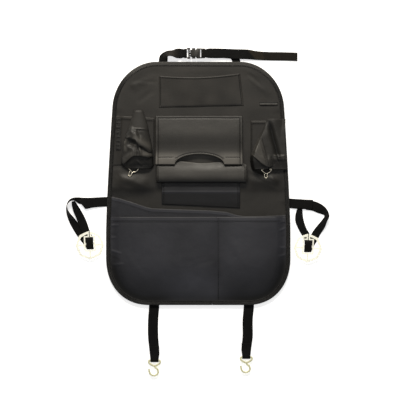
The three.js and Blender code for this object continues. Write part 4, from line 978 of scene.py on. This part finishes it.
def lower_flap_piece():
    u, v = grid(150, 70)
    x = mix(LOWER_FLAP_LEFT, LOWER_FLAP_RIGHT, u)
    y = mix(11, mix(-51, -60.5, u), v)
    tent = 3.0 * np.clip((8 - y) / 29, 0, 1) - 2.0 * np.clip((LOWER_FLAP_FOLD_Y - y) / 34, 0, 1)
    tent = tent + 0.3 * bump(y, LOWER_FLAP_FOLD_Y, 2.5)
    z = panel_top(x, y) + LAYER_GAP + 0.6 + np.maximum(0, tent)
    z = z + 0.25 * (1 + waves(x, y, 50, 61)) * ramp(0.2, 0.5, v)
    from_side = np.minimum(x - LOWER_FLAP_LEFT, LOWER_FLAP_RIGHT - x)
    seam_line = bump(from_side, 5.2, 1.1) * ramp(0.12, 0.16, v)
    # Painted shade over the lower flap, deeper towards its top and below the fold, with a painted highlight
    # along the fold ridge; darker along the stitch lines.
    dark = 0.42 + 0.2 * ramp(-2, 8, y) - 0.45 * bump(y, -20, 3)
    dark = dark + 0.3 * ramp(-22, -28, y) + 0.2 * ramp(-40, -56, y)
    dark = 1 - (1 - dark) * (1 - 0.6 * seam_line)
    roll = np.minimum(0.8, rolled(from_side, 1.8) + rolled((1 - v) * 64, 2.2))
    return level_cloth("lower_flap_cloth", x, y, z - 0.3 * seam_line, LOWER_FLAP_THICKNESS, -dark, roll)


cover(lower_flap_piece(), LOWER_LEATHER, "lower_flap")

FLAP_HEIGHTS = [
    [165, 6.95], [150, 9.8], [132, 13], [117, 15], [106, 15.2], [92, 14.6], [80, 14.8], [70, 16.2],
    [60, 18.4], [46, 20.6],
]


def flap_edge(x):
    d = np.minimum(1, np.abs(x - ARCH_X) / ARCH_HALF_WIDTH)
    return FLAP_BOTTOM_Y + ARCH_HEIGHT * np.sqrt(np.maximum(0, 1 - d * d))


def flap_height(y):
    """The flap's height, with its corners eased over 12 mm."""
    shifts = (-6, -4, -2, 0, 2, 4, 6)
    total = np.zeros(np.shape(y))
    for shift in shifts:
        total = total + along(FLAP_HEIGHTS, np.clip(y + shift, FLAP_BOTTOM_Y, FLAP_TOP_Y))
    return total / len(shifts)


def flap_piece():
    u, v = grid(210, 130)
    arch_left, arch_right = ARCH_X - ARCH_HALF_WIDTH, ARCH_X + ARCH_HALF_WIDTH
    middle = ARCH_X - ARCH_HALF_WIDTH * np.cos(math.pi * np.clip((u - 0.25) / 0.5, 0, 1))
    left = mix(FLAP_LEFT, arch_left, u / 0.25)
    right = mix(arch_right, FLAP_RIGHT, (u - 0.75) / 0.25)
    x = np.where(u < 0.25, left, np.where(u > 0.75, right, middle))
    edge = flap_edge(x)
    y = mix(FLAP_TOP_Y, edge, 1 - (1 - v) ** 1.15)
    side = ramp(0, 0.08, u) * ramp(1, 0.92, u)
    slope = np.clip(np.gradient(edge, axis=1) / np.maximum(1e-3, np.gradient(x, axis=1)), -2.5, 2.5)
    from_edge = (y - edge) / np.sqrt(1 + slope * slope)
    from_side = np.minimum(x - FLAP_LEFT, FLAP_RIGHT - x)
    from_top = FLAP_TOP_Y - y
    from_arch = np.abs(x - ARCH_X)
    in_arch = ramp(62, 57, from_arch)
    side_line = bump(from_side, 6, 1.1) * ramp(4, 7, from_top)
    top_line = bump(from_top, 6.2, 1.1) * ramp(5, 7, from_side)
    arch_line = bump(from_edge, 4.2, 1.1) * in_arch
    hem_line = bump(y, 63, 1.1) * ramp(61, 64, from_arch) * ramp(5, 7, from_side)
    seam_line = np.maximum.reduce([side_line, top_line, arch_line, hem_line])
    z = flap_height(y)
    z = z - 1.2 * (1 - side) * ramp(0.1, 0.3, v)
    z = z + 0.3 * waves(x, y, 70, 71) * ramp(0.1, 0.3, v) * ramp(0.95, 0.8, v)
    z = z - 0.5 * seam_line
    # Painted light and shade: painted highlights on the lower strip beside the arch, along the arch's rim, at
    # the sides and across the upper part; painted shade over the top; darker along the stitch lines.
    lit = 2.9 * ramp(84, 60, y) * ramp(34, 66, from_arch) + 0.3 * ramp(104, 70, y)
    lit = lit + 1.0 * bump(from_edge, 1.2, 1.6) * in_arch
    lit = lit + 0.35 * bump(from_side, 2, 2.2) + 0.25 * bump(y, 128, 9) * bump(x, 20, 60)
    dark = 0.9 * seam_line + 0.2 * ramp(126, 140, y)
    roll = np.minimum(0.9, rolled(from_top, 1.6) + rolled(from_side, 1.6) + rolled(from_edge, 1.8))
    cloth = np.stack([x, y, z], -1)
    return offset_cloth("flap_cloth", cloth, FLAP_THICKNESS, (1 + lit) * (1 - dark) - 1, roll)


cover(flap_piece(), FLAP_LEATHER, "arch_flap")


# Stitches along the sewn edges: piece, then name, samples and corners in shares across and down
STITCH_LIFT = 0.25
SIDE_SEAM = 0.032
SEAMS = {
    "flap_cloth": [
        ("flap_left_stitches", 90, [(SIDE_SEAM, 0.046), (SIDE_SEAM, 0.97)]),
        ("flap_right_stitches", 90, [(1 - SIDE_SEAM, 0.046), (1 - SIDE_SEAM, 0.97)]),
        ("flap_top_stitches", 150, [(SIDE_SEAM, 0.046), (1 - SIDE_SEAM, 0.046)]),
        ("flap_arch_stitches", 150, [(0.272, 0.94), (0.5, 0.94), (0.728, 0.94)]),
        ("flap_hem_left_stitches", 90, [(SIDE_SEAM, 0.817), (0.24, 0.817)]),
        ("flap_hem_right_stitches", 90, [(1 - SIDE_SEAM, 0.817), (0.76, 0.817)]),
    ],
    "upper_pocket_cloth": [
        ("patch_left_stitches", 90, [(0.02, 0.02), (0.02, 0.98)]),
        ("patch_right_stitches", 90, [(0.98, 0.02), (0.98, 0.98)]),
        ("patch_low_stitches", 150, [(0.02, 0.975), (0.98, 0.975)]),
        ("patch_hem_stitches", 150, [(0.03, 0.05), (0.97, 0.05)]),
    ],
    "lower_flap_cloth": [
        ("lower_flap_left_stitches", 90, [(0.025, 0.15), (0.025, 0.97)]),
        ("lower_flap_right_stitches", 90, [(0.975, 0.15), (0.975, 0.97)]),
    ],
    "pouch_cloth": [
        ("pouch_left_stitches", 90, [(0.022, 0.1), (0.022, 0.62)]),
        ("pouch_right_stitches", 90, [(0.978, 0.1), (0.978, 0.62)]),
    ],
    "left_backing_cloth": [
        ("left_backing_hem_stitches", 90, [(0.1, 0.06), (0.96, 0.06)]),
        ("left_backing_side_stitches", 90, [(0.965, 0.02), (0.965, 0.96)]),
    ],
    "right_backing_cloth": [
        ("right_backing_hem_stitches", 90, [(0.1, 0.06), (0.96, 0.06)]),
        ("right_backing_side_stitches", 90, [(0.965, 0.02), (0.965, 0.96)]),
    ],
    "slot_hem_cloth": [("slot_stitches", 90, [(0.04, 0.9), (0.96, 0.9)])],
}
FINE_THREAD = {"flap_arch_stitches": {"step": 3.8, "length": 2.8}}
for piece, seams in SEAMS.items():
    for seam_name, samples, corners in seams:
        shares = np.linspace(0, len(corners) - 1, samples)
        us, vs = (np.interp(shares, range(len(corners)), axis) for axis in np.array(corners).T)
        stitch_run(seam_name, on_face(piece, us, vs, STITCH_LIFT), **FINE_THREAD.get(seam_name, {}))


# Webbing
def catmull(points, v, alpha=0.5):
    """Centripetal Catmull-Rom through points; v counts stops evenly, as the solids do."""
    pts = np.asarray(points, float)
    first = pts[0] * 2 - pts[1]
    last = pts[-1] * 2 - pts[-2]
    full = np.vstack([first, pts, last])
    n = len(pts) - 1
    out = []
    for s in np.clip(v, 0, 1) * n:
        i = min(n - 1, int(s))
        t = s - i
        p0, p1, p2, p3 = full[i], full[i + 1], full[i + 2], full[i + 3]
        d0 = max(1e-4, np.linalg.norm(p1 - p0) ** alpha)
        d1 = max(1e-4, np.linalg.norm(p2 - p1) ** alpha)
        d2 = max(1e-4, np.linalg.norm(p3 - p2) ** alpha)
        m1 = ((p1 - p0) / d0 - (p2 - p0) / (d0 + d1) + (p2 - p1) / d1) * d1
        m2 = ((p2 - p1) / d1 - (p3 - p1) / (d1 + d2) + (p3 - p2) / d2) * d1
        c2 = -3 * p1 + 3 * p2 - 2 * m1 - m2
        c3 = 2 * p1 - 2 * p2 + m1 + m2
        out.append(p1 + m1 * t + c2 * t * t + c3 * t ** 3)
    return np.array(out)


def webbing_piece(name, stops, node_name, steps=10, thickness=STRAP_THICKNESS, highlight_and_brown_share=None):
    n = len(stops) - 1
    v = np.linspace(0, 1, n * steps + 1)
    centre = catmull([s[0] for s in stops], v)
    widths = []
    for at, across, wide in stops:
        w = np.array(across, float)
        widths.append(w / np.linalg.norm(w) * wide / 2)
    half = catmull(widths, v)
    run = np.gradient(centre, axis=0)
    lift = np.cross(run, half)
    lift /= np.maximum(1e-9, np.linalg.norm(lift, axis=1, keepdims=True))
    k = np.linspace(-1, 1, 9)
    edge = 1 - 0.35 * np.abs(k) ** 6
    face = centre[:, None, :] + half[:, None, :] * k[None, :, None]
    back = face.copy()
    face = face + lift[:, None, :] * (thickness / 2) * edge[None, :, None]
    back = back - lift[:, None, :] * (thickness / 2) * edge[None, :, None]
    up = lift[:, None, 2] > 0
    face[..., 2] = np.maximum(face[..., 2], np.where(up, thickness, 0))
    back[..., 2] = np.maximum(back[..., 2], np.where(up, 0, thickness))
    # An optional share that mixes the webbing toward its brown second colour.
    obj = grid_mesh(name, face, back, None if highlight_and_brown_share is None else highlight_and_brown_share(face[..., 0], face[..., 1]))
    return finish_piece(obj, WEBBING, BODY, [node_name])


def stop(x, y, z, across, wide=STRAP_WIDTH):
    return ((x, y, z), across, wide)


X_AXIS = (1, 0, 0)
Y_AXIS = (0, 1, 0)
LYING = STRAP_THICKNESS / 2

# This strap is mixed toward brown about x = -64, along the top of its turn.
webbing_piece("top_left_webbing", [
    stop(-86, TOP_Y - STRAP_TUCK, LYING, (1, 0.02, 0), 22),
    stop(-86, TOP_Y + 1, LYING, (1, 0.02, 0), 22),
    stop(-84, 309, 3.2, (0.8, -0.42, 0.3), 22),
    stop(-76, 317, 8.5, (0.25, -0.75, 0.75), 20),
    stop(-64, 318, 9, (0, -0.8, 0.7), 21),
    stop(-52, BUCKLE_Y, 5.4, (0, -1, 0.14), 24),
    stop(-43, BUCKLE_Y, 2.5, (0, -1, 0), 24),
    stop(-35, BUCKLE_Y, 1.7, (0, -1, 0), 20),
    stop(-30, BUCKLE_Y, 1.9, (0, -1, 0), 18),
    stop(-28.2, BUCKLE_Y, 5, (0, -1, 0), 18),
    stop(-30, BUCKLE_Y, 8.6, (0, -1, 0), 18),
    stop(-36, BUCKLE_Y, 9, (0, -1, 0), 20),
    stop(-44, BUCKLE_Y, 5.6, (0, -1, 0), 23),
], "top_strap_left", 8, highlight_and_brown_share=lambda x, y: 0.55 * bump(x, -64, 15))


def tail_brown_share(x, y):
    """The tail's underside is browner: from a slanting turn, lightest just past it."""
    slant = x - 0.8 * (314 - y) - 130
    past = ramp(0, 3, slant)
    return past * (0.45 + 0.55 * ramp(32, 26, slant - 0.5 * (y - 314))) + 0.25 * ramp(40, -10, x)


webbing_piece("top_right_webbing", [
    stop(95, TOP_Y - STRAP_TUCK, LYING, X_AXIS, 20),
    stop(93, TOP_Y + 1, LYING, (1, 0.1, 0), 20),
    stop(91, 306, 0.9, (0.9, 0.5, 0), 20),
    stop(84, 315, 1, (0.55, 1, 0), 22),
    stop(70, BUCKLE_Y, 1, Y_AXIS, 23),
    stop(45, BUCKLE_Y, 1.4, Y_AXIS, 23),
    stop(25, BUCKLE_Y, 1.4, Y_AXIS, 22),
    stop(14, BUCKLE_Y, 1.4, Y_AXIS, 18),
    stop(9.2, BUCKLE_Y, 2.6, Y_AXIS, 18),
    stop(7.8, BUCKLE_Y, 5.6, Y_AXIS, 18),
    stop(9.6, BUCKLE_Y, 9, Y_AXIS, 18),
    stop(15, BUCKLE_Y, 10, Y_AXIS, 18),
    stop(25, BUCKLE_Y + 0.6, 8.4, Y_AXIS, 22),
    stop(50, BUCKLE_Y + 0.4, 5.6, Y_AXIS, 23),
    stop(90, 316.5, 4.2, (-0.02, 1, 0.02), 24),
    stop(122, 315.5, 4.6, (-0.06, 1, 0.05), 24),
    stop(142, 313, 3.4, (-0.05, 1, 0.12), 22),
    stop(170, 311.5, 1.2, Y_AXIS, 21),
    stop(205, 311, 1, Y_AXIS, 21),
    stop(243, 310, 1, Y_AXIS, 21),
], "top_strap_right", 12, highlight_and_brown_share=tail_brown_share)

LEFT_EDGE_X = float(half_width(-45))
RIGHT_EDGE_X = float(half_width(-50))
webbing_piece("side_left_webbing", [
    stop(-LEFT_EDGE_X + STRAP_TUCK, -45, LYING, Y_AXIS, 24),
    stop(-LEFT_EDGE_X - 2, -45, LYING, Y_AXIS, 24),
    stop(-SIDE_X - 18.5, -46, 2.2, Y_AXIS, 24),
    stop(-SIDE_X - 36.5, -47.5, 3.4, (-0.05, 1, 0), 25),
    stop(-SIDE_X - 49.5, -49.5, 3.6, (-0.35, 1, 0), 27),
    stop(-SIDE_X - 59.5, -52, 4, (-0.8, 1, 0), 27),
], "side_strap_left")
webbing_piece("side_right_webbing", [
    stop(RIGHT_EDGE_X - STRAP_TUCK, -49, LYING, Y_AXIS, 24),
    stop(RIGHT_EDGE_X + 2, -49, LYING, Y_AXIS, 24),
    stop(SIDE_X + 12.5, -50, 3.1, Y_AXIS, 24),
    stop(SIDE_X + 22.5, -50.5, 3.6, Y_AXIS, 24),
    stop(SIDE_X + 36.5, -51.5, 3.6, (0.05, 1, 0), 24),
    stop(SIDE_X + 54.5, -52, 3.6, (0.08, 1, 0), 24),
], "side_strap_right")


def through_disc(x, y, turn, out, reach, lean):
    """Behind the disc, up its lower eye, over the crossbar, down the upper eye and out behind again."""
    rows = [
        (reach, 36, 0.8, (1, -out * 0.35, 0), 20), (0.7 * reach, 23, 0.7, (1, -out * 0.35, 0), 20),
        (0.35 * reach, 8, 0.7, (1, -out * 0.3, 0), 18), (2, -4, 0.7, (1, -out * 0.1, 0), 18),
        (0, -8.6, 1.9, X_AXIS, 18), (0, -9.8, 5, X_AXIS, 18), (0, -8, 8.1, X_AXIS, 18),
        (0, -1, 8.6, X_AXIS, 18), (0, 8, 8.6, X_AXIS, 18), (0, 14.2, 7.9, X_AXIS, 18),
        (0, 16.4, 5, X_AXIS, 18), (0.07 * lean, 19, 2.7, X_AXIS, 18), (0.5 * lean, 27, 2.5, X_AXIS, 18),
        (lean, 35, 2.6, (1, -out * 0.02 * lean, 0), 20),
    ]
    s = math.sin(turn)
    return [
        stop(x + out * dx - dy * s, y + dy + out * dx * s, z, across, wide)
        for dx, dy, z, across, wide in rows
    ]


webbing_piece("loop_left_webbing", [
    stop(-SIDE_X - 38.5, -46, 1.2, Y_AXIS, 22),
    stop(-SIDE_X - 54.5, -44, 1.2, (0.1, 1, 0), 18),
    stop(-SIDE_X - 67.5, -41.5, 1.5, (0.2, 1, 0.1), 15),
    stop(-SIDE_X - 78, -38.5, 6.6, (0, 0.5, 1), 15),
    stop(-SIDE_X - 88, -42, 10.6, (0, 0.2, 1), 19),
    stop(-SIDE_X - 95.5, -54, 11, (0.12, 0.1, 1), 19),
    stop(-SIDE_X - 94, -68, 9.6, (0.35, 0.05, 0.95), 20),
    stop(-SIDE_X - 86.5, -83, 6.6, (0.75, 0, 0.65), 21),
    stop(-SIDE_X - 77.5, -99, 3.1, (1, 0.1, 0.22), 21),
    *through_disc(-SIDE_X - 39.5, -151, 0.05, -1, 26, 9),
    stop(-SIDE_X - 57, -98, 3.6, (1, 0.25, 0.05), 21),
    stop(-SIDE_X - 63.5, -82, 5.4, (1, 0.35, 0.1), 20),
    stop(-SIDE_X - 71.5, -65, 8.6, (1, 0.4, 0.2), 18),
    stop(-SIDE_X - 77, -52, 10.6, (0.9, 0.3, 0.5), 15),
    stop(-SIDE_X - 79.5, -43.5, 11.6, (0.8, 0.2, 0.8), 12),
], "disc_loop_left", 6)
webbing_piece("loop_right_webbing", [
    stop(SIDE_X + 38.5, -54, 1.2, Y_AXIS, 22),
    stop(SIDE_X + 54.5, -55, 1.4, (0.1, 1, 0), 24),
    stop(SIDE_X + 70, -61, 3.4, (0.3, 1, 0.2), 24),
    stop(SIDE_X + 83.5, -69.5, 6.2, (0.5, 0.8, 0.7), 20),
    stop(SIDE_X + 89, -79, 6.8, (0.9, 0.1, 0.9), 15),
    stop(SIDE_X + 83, -92, 5.2, (1, -0.2, 0.7), 15),
    stop(SIDE_X + 75, -106, 2.4, (1, -0.3, 0.2), 19),
    *through_disc(SIDE_X + 42.5, -158, -0.05, 1, 19, -8),
    stop(SIDE_X + 29, -110, 2.8, (1, -0.05, 0), 21),
    stop(SIDE_X + 22.5, -92, 2.4, (1, 0.05, 0), 21),
    stop(SIDE_X + 21.5, -76, 1.4, X_AXIS, 18),
    stop(SIDE_X + 23.5, -60, 1, X_AXIS, 12),
], "disc_loop_right", 6)


def bottom_strap(side, x0, x1):
    """Down from the panel's bottom edge and round the bar of its hook."""
    x2, y = BOTTOM_HOOKS[side]
    r = BAR_RADIUS + BAR_CLEARANCE + STRAP_THICKNESS / 2
    z = r + LYING
    webbing_piece(f"bottom_{side}_webbing", [
        stop(x0, -TOP_Y + STRAP_TUCK, LYING, X_AXIS), stop(x0, -TOP_Y - 2, LYING, X_AXIS),
        stop(x1, -335, LYING, (1, 0.02, 0)), stop(x1, -375, LYING, (1, -0.02, 0)),
        stop(x2, y + 18, LYING, X_AXIS, 24), stop(x2, y + 3, LYING, X_AXIS, 20),
        stop(x2, y - r * 0.7, z - r * 0.72, X_AXIS, 20), stop(x2, y - r, z, X_AXIS, 20),
        stop(x2, y - r * 0.7, z + r * 0.72, X_AXIS, 20), stop(x2, y + 2.5, z + r * 0.86, X_AXIS, 20),
        stop(x2, y + 12, z, X_AXIS, 22), stop(x2, y + 20, 2.9, X_AXIS, 23), stop(x2, y + 34, 2.6, X_AXIS, 23),
    ], f"bottom_strap_{side}", 8)


bottom_strap("left", -108, -110.5)
bottom_strap("right", 124, 121)


def hook_tab(side):
    """A loop of narrow webbing round the bar of a wire hook."""
    x, y, _ = WIRE_HOOKS[side]
    r = WIRE_RADIUS + WIRE_CLEARANCE + TAB_THICKNESS / 2
    round_bar = [(0, -r), (-r * 0.72, -r * 0.72), (-r, 0), (-r * 0.72, r * 0.72), (0, r)]
    spots = [(15, -r), (7, -r), *round_bar, (7, r), (15, r)]
    rows = [stop(x, y + dy, WIRE_HOOK_Z + dz, X_AXIS, 13) for dy, dz in spots]
    webbing_piece(f"tab_{side}_webbing", rows, f"hook_tab_{side}", 6, TAB_THICKNESS)


for side in ("left", "right"):
    hook_tab(side)


# Rigid fittings: the solids' own shapes, with softened edges
SOFT_ANGLE = 0.6


def softened(name, node_name, mat, bevel=0.35):
    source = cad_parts[node_name]
    obj = source.copy()
    obj.data = source.data.copy()
    obj.name = name
    for key in list(obj.keys()):
        del obj[key]
    obj.parent = None
    obj.matrix_world = source.matrix_world.copy()
    bpy.context.scene.collection.objects.link(obj)
    work = bmesh.new()
    work.from_mesh(obj.data)
    bmesh.ops.remove_doubles(work, verts=work.verts, dist=1e-6)
    work.to_mesh(obj.data)
    work.free()
    modifier = obj.modifiers.new("edge", "BEVEL")
    modifier.width = bevel * MM
    modifier.segments = 2
    modifier.limit_method = "ANGLE"
    modifier.angle_limit = SOFT_ANGLE
    modifier.harden_normals = True
    obj.data.shade_smooth()
    obj.data.set_sharp_from_angle(angle=SOFT_ANGLE)
    return finish_piece(obj, mat, BODY, [node_name])


softened("male_buckle_shell", "buckle_male", BUCKLE)
softened("female_buckle_shell", "buckle_female", BUCKLE)
for side in ("left", "right"):
    softened(f"{side}_disc_clear", f"anchor_disc_{side}", CLEAR, 0.4)


def rods(name, bars, radius, mat, body, node_name):
    """Round bars as one smooth mesh each, joined in one piece."""
    curve = bpy.data.curves.new(name, "CURVE")
    curve.dimensions = "3D"
    curve.bevel_depth = radius * MM
    curve.bevel_resolution = 4
    curve.use_fill_caps = True
    for line in bars:
        v = np.linspace(0, 1, max(2, 8 * (len(line) - 1)))
        points = catmull(line, v) if len(line) > 2 else np.asarray(line, float)
        spline = curve.splines.new("POLY")
        spline.points.add(len(points) - 1)
        for p, q in zip(spline.points, points):
            p.co = (*(q * MM), 1)
    temp = bpy.data.objects.new(name + "_line", curve)
    bpy.context.scene.collection.objects.link(temp)
    depsgraph = bpy.context.evaluated_depsgraph_get()
    mesh = bpy.data.meshes.new_from_object(temp.evaluated_get(depsgraph))
    bpy.data.objects.remove(temp)
    mesh.name = name
    obj = bpy.data.objects.new(name, mesh)
    bpy.context.scene.collection.objects.link(obj)
    mesh.shade_smooth()
    return finish_piece(obj, mat, body, [node_name])


def wire_hook(side):
    """A straight bar in the webbing loop, two arms from its ends and one open hook where they meet."""
    x, y, turn = WIRE_HOOKS[side]
    z = WIRE_HOOK_Z
    c, s = math.cos(turn), math.sin(turn)

    def flat(dx, dy, dz):
        return (x + dx * c - dy * s, y + dx * s + dy * c, z + dz)
    bars = [
        [(x - 11, y, z), (x + 11, y, z)],
        [(x - 10.9, y, z), (x - 12, y - 1.5, z), flat(-9, -6, 0), flat(0, -12, 0)],
        [(x + 10.9, y, z), (x + 12, y - 1.5, z), flat(9, -6, 0), flat(0, -12, 0)],
        [flat(0, -11, 0), flat(0, -14, 0), flat(-0.6, -19, 0.3), flat(-3.4, -22.4, 0.6), flat(-6.4, -20, 0.6),
         flat(-6.8, -15, 0.5), flat(-6.2, -10.5, 0.4)],
    ]
    node_name = f"metal_hook_{side}"
    rods(f"{side}_wire_hook", bars, WIRE_DRAWN_RADIUS, NICKEL, node_name + "_body", node_name)


def plastic_hook(side):
    """A bar through the strap's turn, two arms to a point and the hook below it."""
    x, y = BOTTOM_HOOKS[side]
    z = BAR_RADIUS + BAR_CLEARANCE + STRAP_THICKNESS
    bars = [
        [(x - 13.9, y, z), (x + 13.9, y, z)],
        [(x - 13.4, y, z), (x - 13.9, y - 5, z), (x - 8, y - 10.5, z), (x, y - 14, z)],
        [(x + 13.4, y, z), (x + 13.9, y - 5, z), (x + 8, y - 10.5, z), (x, y - 14, z)],
        [(x, y - 12, z), (x + 2, y - 17, z), (x + 8, y - 23, z), (x + 8.6, y - 31, z), (x + 1, y - 37, z),
         (x - 8, y - 35, z), (x - 12.4, y - 28, z), (x - 13.6, y - 21, z)],
    ]
    node_name = f"bottom_hook_{side}"
    rods(f"{side}_plastic_hook", bars, BAR_RADIUS, IVORY, node_name + "_body", node_name)


for make_hook in (wire_hook, plastic_hook):
    for side in ("left", "right"):
        make_hook(side)


# Floor, light and camera
def floor_plane():
    mesh = bpy.data.meshes.new("floor")
    s = 3.0
    mesh.from_pydata([(-s, -s, 0), (s, -s, 0), (s, s, 0), (-s, s, 0)], [], [(0, 1, 2, 3)])
    obj = bpy.data.objects.new("floor", mesh)
    obj.location = (0, 0, -0.0004)
    bpy.context.scene.collection.objects.link(obj)
    mat = Material("floor_white").finish({
        "Base Color": (0.9, 0.9, 0.9, 1), "Roughness": 0.9, "Specular IOR Level": 0.0,
        "Emission Color": (1, 1, 1, 1), "Emission Strength": 0.62,
    })
    obj.data.materials.append(mat)


def area_light(name, at, size, energy, colour):
    """A rectangle of light at a place, aimed at the middle of the floor."""
    light = bpy.data.lights.new(name, "AREA")
    light.shape = "RECTANGLE"
    light.size, light.size_y = size
    light.energy = energy
    light.color = colour
    obj = bpy.data.objects.new(name, light)
    obj.location = at
    obj.rotation_euler = (-Vector(at)).to_track_quat("-Z", "Y").to_euler()
    bpy.context.scene.collection.objects.link(obj)


floor_plane()
area_light("key_top", (-0.15, 1.7, 1.3), (1.2, 0.5), 56, (1.0, 0.94, 0.83))
area_light("overhead", (0.1, 0.3, 2.5), (0.8, 0.6), 5, (1.0, 0.98, 0.95))
area_light("fill_low", (0.2, -1.9, 1.5), (2.0, 1.0), 4, (0.86, 0.93, 1.0))
world = bpy.data.worlds.new("studio")
world.use_nodes = True
sky = world.node_tree.nodes["Background"]
sky.inputs["Color"].default_value = (1, 1, 1, 1)
seen = world.node_tree.nodes.new("ShaderNodeLightPath")
strength = world.node_tree.nodes.new("ShaderNodeMath")
strength.operation = "MAXIMUM"
strength.inputs[1].default_value = 0.16
world.node_tree.links.new(seen.outputs["Is Camera Ray"], strength.inputs[0])
world.node_tree.links.new(strength.outputs[0], sky.inputs["Strength"])
bpy.context.scene.world = world
bpy.context.scene.view_settings.view_transform = "Standard"

camera = bpy.data.cameras.new("camera")
camera.sensor_width = 36
camera.lens = 36 * 3000 / 978
camera_object = bpy.data.objects.new("camera", camera)
camera_object.location = (0.0043, -0.0406, 3.006)
bpy.context.scene.collection.objects.link(camera_object)
bpy.context.scene.camera = camera_object
